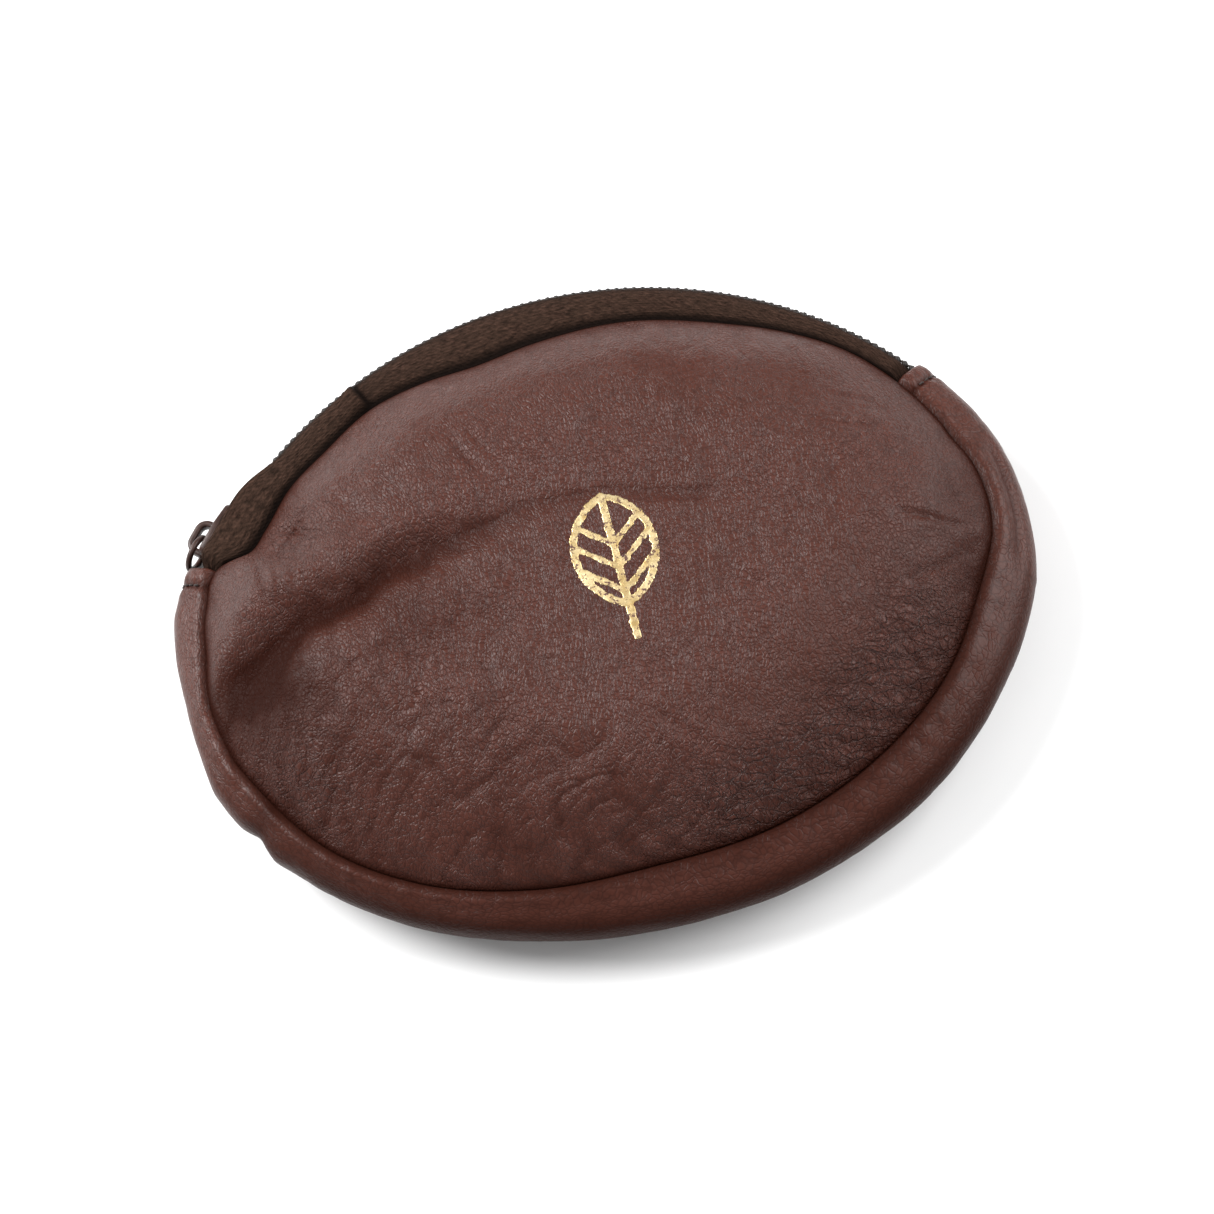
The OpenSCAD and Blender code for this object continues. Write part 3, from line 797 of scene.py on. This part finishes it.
def gusset_relief(alpha, a, s):
    """How far the strip's outer face stands out, in mm, with its painted shade mask."""
    w = a / 90.0
    from_corner = s - arc_length(LEFT_CORNER)
    corner = bell(from_corner, 2.0)
    dent = bell(s - arc_length(RIGHT_DENT) + 1.6 * w, 0.9)
    turned = np.mod(alpha + 180, 360)
    right = smooth((turned - 146) / 14) * smooth((200 - turned) / 12)
    low = smooth((-np.sin(np.radians(alpha)) - 0.25) / 0.55)
    pucker = np.sin(s * 1.5 + 2.0 * value_noise(s / 7, s * 0, 331))
    relief = (0.13 * fractal(s / 16, w * 1.3, 301) + 0.03 * fractal(s / 5.0, w * 3, 311)
              + 0.04 * creases(s / 5.0, w * 1.6, 321)
              + 0.06 * smooth((np.abs(w) - 0.55) / 0.3) * pucker
              - 0.75 * corner * bell(w + 0.1, 0.6) + 0.35 * bell(from_corner - 3.2, 2.0) * bell(w, 0.6)
              - 0.5 * dent * smooth((w + 0.2) / 0.5)
              + right * (0.22 * bell(w - 0.80, 0.10) - 0.34 * bell(w - 0.60, 0.085)))
    # painted shade: darker by the seams, in the right groove, the dent and the corner, towards the back
    # seam, and much darker on the lower stretch, which faces away from the light
    hollow = (0.85 * smooth((np.abs(w) - 0.88) / 0.12) + 0.35 * right * bell(w - 0.60, 0.07)
              + 0.5 * dent + 0.35 * corner + 0.45 * smooth((-w - 0.1) / 0.6)
              + low * (0.42 + 0.45 * smooth((0.75 - w) / 0.5)))
    return relief, np.clip(hollow, 0, 1)


def hem_relief(from_hem):
    """The padded fold at each hem and the groove that its stitches pull in."""
    return (0.22 * bell(from_hem - 1.1, 0.9) - 0.30 * bell(from_hem - HEM_ROW, 0.45)
            + 0.12 * bell(from_hem - 3.6, 0.7))


def strip(alpha, inset, z, row):
    """A sheet laid along the outline: its points, its faces, and each point's distance along it
    and, measured on one row, across it."""
    x, y = rim_point(alpha[:, None], inset)
    verts = np.column_stack([x.ravel(), y.ravel(), z.ravel()])
    across = np.append(0, np.cumsum(np.hypot(np.diff(inset[row]), np.diff(z[row]))))
    rows, cols = inset.shape
    return verts, grid_faces(rows, cols), np.repeat(arc_length(alpha), cols), np.tile(across, rows)


def gusset_strip():
    """One strip from hem to hem, with its edges turned in at both seams and both hems."""
    left, right = hem_alpha(1), hem_alpha(-1) + 360
    start, end = arc_length(left), arc_length(right)
    grid = np.linspace(left, right, 2000)
    s_main = np.linspace(start, end, int((end - start) / (0.45)))
    per_mm = math.degrees(1 / LONG_R)
    rows = [(left + d * per_mm, depth) for d, depth in HEM_FOLD]
    rows += [(a, 0.0) for a in np.interp(s_main, arc_length(grid), grid)]
    rows += [(right - d * per_mm, depth) for d, depth in reversed(HEM_FOLD)]
    alpha, depth = np.array(rows).T
    s = arc_length(alpha)
    from_hem = np.maximum(np.minimum(s - start, end - s), 0)

    # section angles, denser near the seams, then the seam allowances turned in
    w = np.linspace(-1, 1, 45)
    a = 90 * (0.72 * w + 0.28 * w ** 3)
    AL, A = np.meshgrid(alpha, a, indexing="ij")
    S, D, F = (np.repeat(v[:, None], len(a), 1) for v in (s, depth, from_hem))
    inset, z = gusset_point(AL, A, D)
    relief, hollow = gusset_relief(AL, A, S)
    hem_puff = hem_relief(F) * (D < 0.01) + 0.10 * np.sin(A / 90 * 22) * bell(F - HEM_ROW, 1.2)
    amount = (relief * smooth(F / 5) + hem_puff) * smooth((90 - np.abs(A)) / 14)
    inset = inset - amount * np.abs(np.cos(np.radians(A))) ** 0.5
    z = z + amount * np.sin(np.radians(A)) * 0.8
    # painted shade in the groove pulled in by each hem's stitches
    hollow = np.clip(hollow + 0.7 * bell(F - HEM_ROW, 0.5), 0, 1)

    # the allowances: inset past the seam, and gap to the seam's middle plane
    past, gap = np.array([(0.4, 0.06), (1.6, 0.05), (ALLOWANCE, 0.05)]).T
    turned = seam_inset(alpha)[:, None] + past
    below = gap + 0.5 * depth[:, None]
    inset_all = np.hstack([turned[:, ::-1], inset, turned])
    z_all = np.hstack([BACK_Z + below[:, ::-1], z, FRONT_Z - below])
    # the turned-in allowances are given full painted shade
    painted_shade_all = np.pad(hollow, ((0, 0), (3, 3)), constant_values=1.0)
    verts, faces, along, across = strip(alpha, inset_all, z_all, 0)
    cols = inset_all.shape[1]
    middle = len(alpha) // 2 * (cols - 1) + cols // 2
    faces = wound(verts, faces, middle, verts[faces[middle][0]] * (1, 1, 0))
    rest = np.column_stack([across + 300, along, np.zeros(len(verts))])
    obj = leather_sheet("gusset_leather", verts, faces, GUSSET_T, [GUSSET_LEATHER, SUEDE],
                        rest * (1.4, 0.7, 1),
                        {"hollow": painted_shade_all.ravel(), "crackle": np.zeros(len(verts))})
    settle(obj, "gusset_leather", "gusset_strip")


# ---- the zip


def zip_point(theta, inset, z):
    """theta in degrees from the middle of the zip, left positive."""
    x, y = rim_point(90 + np.asarray(theta, float), inset)
    return np.stack(np.broadcast_arrays(x, y, z), axis=-1)


# The tape's section, from its seam to the coil: share of the way, inset gained and z from the middle.
TAPE_ACROSS = np.array((0.0, 0.06, 0.2, 0.42, 0.66, 0.86, 0.96, 1.0))
TAPE_OUT = np.array((0.0, 0.10, 0.27, 0.52, 0.77, 0.95, 1.02, 1.0))
TAPE_OFF = np.array((3.66, 3.72, 4.16, 4.42, 4.28, 3.70, 3.10, 2.5))
WEAVE_START = {1: 53.9, -1: -26.1}   # so that the two tapes' weaves differ


def zip_piece(stem, ending, side, slot, *mesh):
    """One piece of the zip's front (side 1) or back (side -1) half."""
    name = stem + ("_front" if side > 0 else "_back")
    settle(mesh_object(name + ending, *mesh), slot, name, body="mouth" if side > 0 else "root")


def tape(side):
    """One woven tape: seam allowance, puffed shoulder and the flat under the coil. The front one
    folds out over the parked slider."""
    count = 520
    theta = np.linspace(-TUCK, TUCK, count)
    s = arc_length(90 + theta)
    seam = seam_inset(90 + theta)
    tucked = smooth((np.abs(theta) - np.where(theta > 0, HEMS[1], HEMS[-1]) + 2.2) / 2.4)
    puff = 0.16 * value_noise(s / 7, s * 0, 401 + side) + 0.09 * value_noise(s / 2.6, s * 0, 411 + side)
    past = theta - TAPE_KINKS[side]
    kink = bell(past, 0.45)
    step = np.where(past > 0, 0.55 * np.exp(-past / 3.0), -0.50 * np.exp(past / 2.0))
    step = step * smooth(np.abs(past) / 0.4)
    lip = 0.6 * smooth(past / 0.35) * np.exp(-np.maximum(past, 0) / 2.2)
    if side > 0:
        lip = lip + 1.7 * smooth((theta - 36) / 10) * (1 - 0.5 * tucked)
    columns = [(seam + ALLOWANCE, 3.72 - 1.2 * tucked), (seam + 1.6, 3.70 - 1.2 * tucked)]
    for u in np.linspace(0, 1, 21):
        jut = lip * smooth((u - 0.3) / 0.4) * (1 - smooth((u - 0.82) / 0.09))
        off = curve(u, TAPE_ACROSS, TAPE_OFF) + 0.22 * np.maximum(jut, 0)
        off = off + math.sin(math.pi * u ** 0.8) * (puff + step - 0.45 * kink)
        under = 2.05 + 0.40 * (1 - u)
        columns.append((seam - (seam - TAPE_IN) * curve(u, TAPE_ACROSS, TAPE_OUT) - jut,
                        off * (1 - tucked) + under * tucked))
    columns += [(np.full(count, TAPE_IN), np.full(count, off)) for off in (2.0, 1.2, 0.5)]
    inset_all, off_all = (np.column_stack(c) for c in zip(*columns))
    cols = len(columns)
    verts, faces, along, across = strip(90 + theta, inset_all, RIM_Z + side * off_all, count // 2)
    faces = wound(verts, faces, count // 2 * (cols - 1) + cols - 3, (0, 1, 0))
    rest = np.column_stack([along, across + WEAVE_START[side], np.zeros(len(verts))])
    k = np.arange(cols)
    # painted shade on the tape: beside the leather edge, towards the coil, at the kink and just before it
    gap = np.maximum(smooth((7.0 - k) / 3.5), 0.55 * smooth((k - 16) / 5.0))
    behind = 0.55 * np.where(past < 0, np.exp(past / 1.3), 0)
    shade = np.clip(gap[None, :] + 0.9 * kink[:, None] + behind[:, None], 0, 1).ravel()
    v, f, _, values = thicken(verts, faces, TAPE_T, {"hollow": shade})
    zip_piece("zip_tape", "_woven", side, "tape_cloth", v, f, TAPE, np.vstack([rest, rest]), values)


def coil(side):
    """A nylon monofilament wound into one side of the chain, heads meshing past the middle."""
    per_mm = math.degrees(1 / (LONG_R - COIL_IN))
    turns = int(2 * (TUCK - 1) / per_mm / COIL_PITCH)
    per_turn = 16
    t = np.arange(turns * per_turn + 1) / per_turn
    phase = 2 * math.pi * t
    along = (t - turns / 2 + (0.5 if side > 0 else 0)) * COIL_PITCH + 0.05 * np.sin(phase)
    off = 0.98 - 0.98 * np.cos(phase)
    off = np.where(off < 0.3, off * 0.6, off)
    points = zip_point(along * per_mm, COIL_IN + 0.02 + 0.26 * np.sin(phase), RIM_Z + side * (off + 0.02))
    wire = 0.24 + 0.17 * smooth((off - 0.3) / 0.8)
    zip_piece("zip_coil", "_wound", side, "coil_nylon", *tube(points, wire, 8), COIL)


def filler_cord(side):
    points = zip_point(np.linspace(-TUCK + 1, TUCK - 1, 180), COIL_IN - 0.04, RIM_Z + side * 1.15)
    zip_piece("filler_cord", "_cotton", side, "cord_cotton", *tube(points, 0.13), CORD)


def stitch(ends, lift, radius):
    """One stitch between two points: it dips in at both ends and rises by lift between."""
    t = np.linspace(0, 1, 6)[:, None]
    arch = np.sin(np.pi * t)
    points = ends[0] * (1 - t) + ends[1] * t + np.array(lift) * arch
    return tube(points, radius * (0.7 + 0.3 * arch.ravel()), 6)


def coil_stitching(side):
    """Chain stitches beside the coil and over its crest, one of each for each turn."""
    per_mm = math.degrees(1 / (LONG_R - TAPE_IN))
    count = int(2 * (TUCK - 2) / per_mm / COIL_PITCH)
    reach = np.array([-per_mm, per_mm])
    parts = []
    for k in range(count):
        mid = (k - count / 2) * COIL_PITCH * per_mm
        out = np.array([-math.sin(math.radians(mid)), math.cos(math.radians(mid)), 0])
        beside = zip_point(mid + 0.42 * reach, TAPE_IN + 0.02, RIM_Z + side * 2.22)
        over = zip_point(mid + 0.58 * reach, [2.34, 2.26], RIM_Z + side * np.array([1.78, 1.92]))
        parts += [stitch(beside, out * 0.10, 0.11), stitch(over, out * 0.04, 0.24)]
    zip_piece("coil_stitching", "_thread", side, "dark_thread", *joined(parts), THREAD)


# ---- sewing


def seam_stitches(lines):
    """Rows of stitches through a seam's allowances: (z, lift, from, to)."""
    parts = []
    for z, lift, start, end in lines:
        grid = np.linspace(start, end, 1500)
        first, last = arc_length(start), arc_length(end)
        count = int((last - first) / 3.0)
        marks = np.interp(np.arange(count + 1) * (last - first) / count + first, arc_length(grid), grid)
        for mark, after in zip(marks, marks[1:]):
            a = np.array([mark + 0.12 * (after - mark), after])
            x, y = rim_point(a, seam_inset(a) + SEAM_ROW)
            parts.append(stitch(np.column_stack([x, y, (z, z)]), (0, 0, lift), 0.2))
    return joined(parts)


def seam_threads():
    """Each seam's thread: over the panel all the way round, and under the gusset and the tape."""
    rows = ((PANEL_T + 0.05, 0.12, 0, 360),
            (-GUSSET_T - 0.12, -0.12, hem_alpha(1), hem_alpha(-1) + 360),
            (-TAPE_T - 0.4, -0.12, hem_alpha(-1) + 1, hem_alpha(1) - 1))
    for side, stem in ((1, "front"), (-1, "back")):
        seam_z = RIM_Z + side * RIM_HALF
        lines = [(seam_z + side * out, side * lift, start, end) for out, lift, start, end in rows]
        obj = mesh_object(stem + "_seam_stitches", *seam_stitches(lines), THREAD)
        if side > 0:
            settle(obj, "dark_thread", "front_seam_thread", "front_seam_thread_mouth", body="mouth")
        else:
            settle(obj, "dark_thread", "back_seam_thread")


def hem_stitches(side):
    """The row of stitches across the gusset behind each hem."""
    alpha = hem_alpha(side) + side * HEM_ROW * math.degrees(1 / LONG_R)
    t = math.radians(alpha)
    marks = np.linspace(-76, 76, 12)
    parts = []
    for mark, after in zip(marks, marks[1:]):
        a = np.array([mark + 2.0, after - 2.5])
        inset, z = gusset_point(np.full(2, alpha), a, np.full(2, 0.16))
        x, y = rim_point(np.full(2, alpha), inset)
        mid = math.radians(a.mean())
        lift = np.array([math.cos(t) * math.cos(mid), math.sin(t) * math.cos(mid), math.sin(mid)]) * 0.16
        parts.append(stitch(np.column_stack([x, y, z]), lift, 0.15))
    name = "hem_stitches_left" if side > 0 else "hem_stitches_right"
    settle(mesh_object(name + "_thread", *joined(parts), THREAD), "dark_thread", name)


# ---- slider and pull

PLATE_Y, PLATE_T = -1.5, 0.95       # outer plate: its inner face and thickness, out from the outline
INNER_Y, INNER_T = -4.65, 0.85
SLIDER_L, SLIDER_HALF = 7.6, 3.1
PIVOT = (-1.3, 0.4)
EYE_R, EYE_WIRE = 2.2, 0.44         # the pull's eye: middle of its ring, and half of its bar
PULL_L, PULL_HALF, PULL_T = 9.4, 2.0, 0.8
PULL_TILT, PULL_DROOP = math.radians(1), math.radians(50)


def from_zip(points):
    """Points of the slider's own frame, x back along the chain and y outward, to the pouch's."""
    x, y, z = np.asarray(points, float).T
    a = math.radians(SLIDER_DEG)
    y = y + LONG_R
    return np.column_stack([x * math.cos(a) - y * math.sin(a),
                            x * math.sin(a) + y * math.cos(a) - LONG_CY, z + RIM_Z])


def inward(outline, distance):
    """A convex outline with every side moved in by the same distance."""
    before, after = np.roll(outline, 1, axis=0), np.roll(outline, -1, axis=0)
    e0, e1 = outline - before, after - outline
    e0 /= np.linalg.norm(e0, axis=1, keepdims=True)
    e1 /= np.linalg.norm(e1, axis=1, keepdims=True)
    n0, n1 = np.column_stack([-e0[:, 1], e0[:, 0]]), np.column_stack([-e1[:, 1], e1[:, 0]])
    way = n0 + n1
    return outline + way / np.maximum(1 + (n0 * n1).sum(axis=1, keepdims=True), 0.3) * distance


def rounded_slab(outline, thickness, radius):
    """A slab over an anticlockwise convex outline with rounded edges, about its middle plane."""
    outline = np.array(outline, float)
    half, count = thickness / 2, len(outline)
    bends = [math.radians(90 * k / 4) for k in range(5)]
    rings = [(radius + 0.05, -half)]
    rings += [(radius * (1 - math.sin(b)), -half + radius * (1 - math.cos(b))) for b in bends]
    rings += [(radius * (1 - math.sin(b)), half - radius * (1 - math.cos(b))) for b in reversed(bends)]
    rings += [(radius + 0.05, half)]
    verts = np.vstack([np.column_stack([inward(outline, d), np.full(count, h)]) for d, h in rings])
    return verts, grid_faces(len(rings), count, closed_cols=True) + end_caps(len(rings), count)


def arc_points(cx, cy, r, start, end, count):
    a = np.radians(np.linspace(start, end, count))
    return list(zip(cx + r * np.cos(a), cy + r * np.sin(a)))


def box_outline(x0, x1, y0, y1, r):
    return (arc_points(x0 + r, y0 + r, r, 180, 270, 4) + arc_points(x1 - r, y0 + r, r, 270, 360, 4)
            + arc_points(x1 - r, y1 - r, r, 0, 90, 4) + arc_points(x0 + r, y1 - r, r, 90, 180, 4))


def laid(slab, y):
    """A slab drawn in (x, z), laid at height y in the slider's frame."""
    v, f = slab
    return from_zip(np.column_stack([v[:, 0], y - v[:, 2], v[:, 1]])), f


def plate(half, y, thickness, radius):
    tail, x0, x1 = 0.72 * half, -SLIDER_L / 2, SLIDER_L / 2
    outline = [(x0, -half + 0.6), (x0 + 0.25, -half + 0.2), (x0 + 0.7, -half), (0.5, -half),
               (x1 - 0.4, -tail - 0.1), (x1, -tail + 0.4), (x1, tail - 0.4), (x1 - 0.4, tail + 0.1),
               (0.5, half), (x0 + 0.7, half), (x0 + 0.25, half - 0.2), (x0, half - 0.6)]
    return laid(rounded_slab(outline, thickness, radius), y + thickness / 2)


def bar_along(path, half_z, half_t):
    """A bar of rounded section bent along a path in (x, y)."""
    p = np.array(path, float)
    t = np.gradient(p, axis=0)
    t /= np.linalg.norm(t, axis=1, keepdims=True)
    side = np.column_stack([-t[:, 1], t[:, 0]])
    sides = 16
    a = np.arange(sides) * 2 * math.pi / sides
    across = np.sign(np.cos(a)) * np.abs(np.cos(a)) ** 0.5 * half_z
    out = np.sign(np.sin(a)) * np.abs(np.sin(a)) ** 0.5 * half_t
    xy = p[:, None] + side[:, None] * out[None, :, None]
    verts = np.concatenate([xy, np.broadcast_to(across, xy.shape[:2])[..., None]], axis=2)
    faces = grid_faces(len(p), sides, closed_cols=True) + end_caps(len(p), sides)
    return from_zip(verts.reshape(-1, 3)), faces


def cast(name, parts, node, body):
    """A piece of enamelled metal made of closed parts, with every face turned outward."""
    obj = mesh_object(name, *joined(parts), ENAMEL)
    bm = bmesh.new()
    bm.from_mesh(obj.data)
    bmesh.ops.recalc_face_normals(bm, faces=bm.faces)
    bm.to_mesh(obj.data)
    bm.free()
    settle(obj, "slider_enamel", node, body=body)


def slider():
    """Two plates joined by a divider post, with flanges, and a bridge for the pull."""
    parts = [plate(SLIDER_HALF, PLATE_Y, PLATE_T, 0.28), plate(2.2, INNER_Y, INNER_T, 0.25)]
    for side in (-1, 1):
        z0, z1 = sorted((side * (SLIDER_HALF - 0.65), side * SLIDER_HALF))
        wall = rounded_slab(box_outline(-3.2, 0.5, z0, z1, 0.15), 1.25, 0.15)
        parts.append(laid(wall, PLATE_Y - 0.9 + 0.625))
    post = rounded_slab(box_outline(-3.8, -2.2, -0.25, 0.25, 0.12), 3.4, 0.1)
    parts.append(laid(post, INNER_Y + INNER_T / 2 + 1.7))
    path = [(-3.35, -1.0), (-3.35, -0.4), (-3.35, 0.3)] + arc_points(-2.1, 0.55, 1.25, 180, 90, 8)
    path += arc_points(-0.5, 0.55, 1.25, 90, 0, 8) + [(0.75, 0.3), (0.75, -0.4), (0.75, -1.0)]
    parts.append(bar_along(path, 0.75, 0.45))
    cast("slider_cast", parts, "slider_body", "slider")


def pull_place(points):
    """Points of the pull's own frame, u along it from its eye, v across and w through."""
    u, v, w = np.asarray(points, float).T
    x = u * math.cos(PULL_DROOP) - v * math.sin(PULL_DROOP) - EYE_R
    z = u * math.sin(PULL_DROOP) + v * math.cos(PULL_DROOP)
    return from_zip(np.column_stack([
        PIVOT[0] + x * math.cos(PULL_TILT) - w * math.sin(PULL_TILT),
        PIVOT[1] + x * math.sin(PULL_TILT) + w * math.cos(PULL_TILT), z]))


def pull():
    """A flat tongue with a round eye that hangs in the bridge."""
    a = np.radians(np.linspace(0, 360, 49)[:-1])
    ring = np.column_stack([EYE_R * np.cos(a), EYE_R * np.sin(a), 0 * a])
    sides = 12
    b = np.arange(sides) * 2 * math.pi / sides
    out = 1 + EYE_WIRE / EYE_R * np.cos(b)
    eye = np.stack([ring[:, None, 0] * out, ring[:, None, 1] * out,
                    np.broadcast_to(0.40 * np.sin(b), (len(a), sides))], axis=2).reshape(-1, 3)
    eye_faces = grid_faces(len(a), sides, closed_rows=True, closed_cols=True)
    end = -PULL_L + PULL_HALF
    outline = (arc_points(end, 0, PULL_HALF, 90, 270, 15) + [(-3.0, -PULL_HALF), (-1.9, -1.45)]
               + [(-1.9, 1.45), (-3.0, PULL_HALF)])
    tongue, tongue_faces = rounded_slab(outline, PULL_T, 0.32)
    parts = [(pull_place(eye), eye_faces), (pull_place(tongue), tongue_faces)]
    cast("pull_cast", parts, "pull_tab", "pull")


# ---- the stamp


LEAF_TOP, LEAF_FOOT, STEM_FOOT = 0.36, -0.44, -0.64    # in lengths of the stamp, from its middle
LEAF_WIDE = 0.56
VEINS = (-0.33, -0.17, -0.01)
LINE = 0.028             # half of the width of the stamp's lines


def stamp_mask(x, y):
    """Signed distance to a plain veined leaf on its stem, one unit long: negative is foil."""
    side = np.abs(x)

    def line(foot, lean, reach, half):
        along = np.clip(side * math.sin(lean) + (y - foot) * math.cos(lean), 0, reach)
        return np.hypot(side - along * math.sin(lean), y - foot - along * math.cos(lean)) - half
    middle, tall, wide = (LEAF_TOP + LEAF_FOOT) / 2, (LEAF_TOP - LEAF_FOOT) / 2, LEAF_WIDE / 2
    radius = (tall ** 2 + wide ** 2) / (2 * wide)
    blade = np.hypot(side + radius - wide, y - middle) - radius
    foil = np.minimum(np.abs(blade + LINE) - LINE, line(STEM_FOOT, 0, 0.96, LINE))
    for vein in VEINS:
        foil = np.minimum(foil, np.maximum(line(vein, math.radians(50), 1, 0.8 * LINE), blade))
    return foil


def gold_stamp():
    """Worn foil on the front leather, following its height."""
    low, high = box_mm("gold_stamp")
    length = high[1] - low[1]
    cx, cy = (low[0] + high[0]) / 2, low[1] - STEM_FOOT * length
    step = 0.11
    X, Y = np.meshgrid(np.arange(low[0] - 0.3, high[0] + 0.3, step),
                       np.arange(low[1] - 0.3, high[1] + 0.3, step), indexing="ij")
    ragged = 0.10 * fractal(X * 1.4, Y * 1.4, 501) + 0.05 * fractal(X * 4, Y * 4, 511)
    inside = stamp_mask((X - cx) / length, (Y - cy) / length) * length + ragged < 0
    z = front_height(X.ravel(), Y.ravel())[0].reshape(X.shape)
    corners = ((0, 0), (1, 0), (1, 1), (0, 1))
    rows, cols = X.shape[0] - 1, X.shape[1] - 1
    quads = np.all([inside[i:i + rows, j:j + cols] for i, j in corners], axis=0)
    used = np.zeros(X.shape, bool)
    for i, j in corners:
        used[i:i + rows, j:j + cols] |= quads
    index = np.cumsum(used).reshape(X.shape) - 1
    verts = np.column_stack([X[used], Y[used], z[used] + 0.035])
    faces = [tuple(int(index[i + di, j + dj]) for di, dj in corners) for i, j in zip(*np.nonzero(quads))]
    v, f, _, _ = thicken(verts, faces, 0.06)
    settle(mesh_object("gold_stamp_foil", v, f, FOIL), "gold_foil", "gold_stamp")


# ---- camera, light and floor


def camera():
    """A steep view from the bottom edge of the pouch, a little turned about the lens."""
    azimuth, elevation, roll = math.radians(1.0), math.radians(68.0), math.radians(15.7)
    distance = 0.4076
    away = Vector((math.sin(azimuth) * math.cos(elevation), -math.cos(azimuth) * math.cos(elevation),
                   math.sin(elevation)))
    data = bpy.data.cameras.new("camera")
    data.lens = 94.9
    data.sensor_width = 36
    data.clip_start = 0.01
    data.shift_x = 0.0072
    data.shift_y = -0.0095
    cam = bpy.data.objects.new("camera", data)
    cam.location = Vector((0, 0, 0.010)) + away * distance
    aim = (-away).to_track_quat("-Z", "Y").to_matrix().to_4x4()
    cam.matrix_world = Matrix.Translation(cam.location) @ aim @ Matrix.Rotation(-roll, 4, "Z")
    bpy.context.scene.collection.objects.link(cam)
    bpy.context.scene.camera = cam


def area_light(name, place, size, power, aim=(0, 0, 0.01)):
    data = bpy.data.lights.new(name, "AREA")
    data.shape = "DISK"
    data.size = size
    data.energy = power
    lamp = bpy.data.objects.new(name, data)
    lamp.location = place
    lamp.rotation_euler = (Vector(aim) - Vector(place)).to_track_quat("-Z", "Y").to_euler()
    bpy.context.scene.collection.objects.link(lamp)


def light():
    bpy.context.scene.view_settings.view_transform = "Standard"
    area_light("key_softbox", (-0.46, 0.32, 0.52), 0.48, 9.6)
    area_light("fill_softbox", (0.55, 0.08, 0.50), 0.6, 5.8)
    world = bpy.data.worlds.new("studio")
    world.use_nodes = True
    world.node_tree.nodes["Background"].inputs["Color"].default_value = (1, 1, 1, 1)
    world.node_tree.nodes["Background"].inputs["Strength"].default_value = 0.45
    bpy.context.scene.world = world


def floor():
    size = 1.6
    verts = [(-size, -size, 0), (size, -size, 0), (size, size, 0), (-size, size, 0)]
    mesh = bpy.data.meshes.new("floor")
    mesh.from_pydata(verts, [], [(0, 1, 2, 3)])
    mesh.materials.append(floor_material())
    obj = bpy.data.objects.new("floor", mesh)
    bpy.context.scene.collection.objects.link(obj)


camera()
light()
floor()
front_panel()
back_panel()
gusset_strip()
for zip_side in (1, -1):
    tape(zip_side)
    coil(zip_side)
    filler_cord(zip_side)
    coil_stitching(zip_side)
    hem_stitches(zip_side)
seam_threads()
slider()
pull()
gold_stamp()
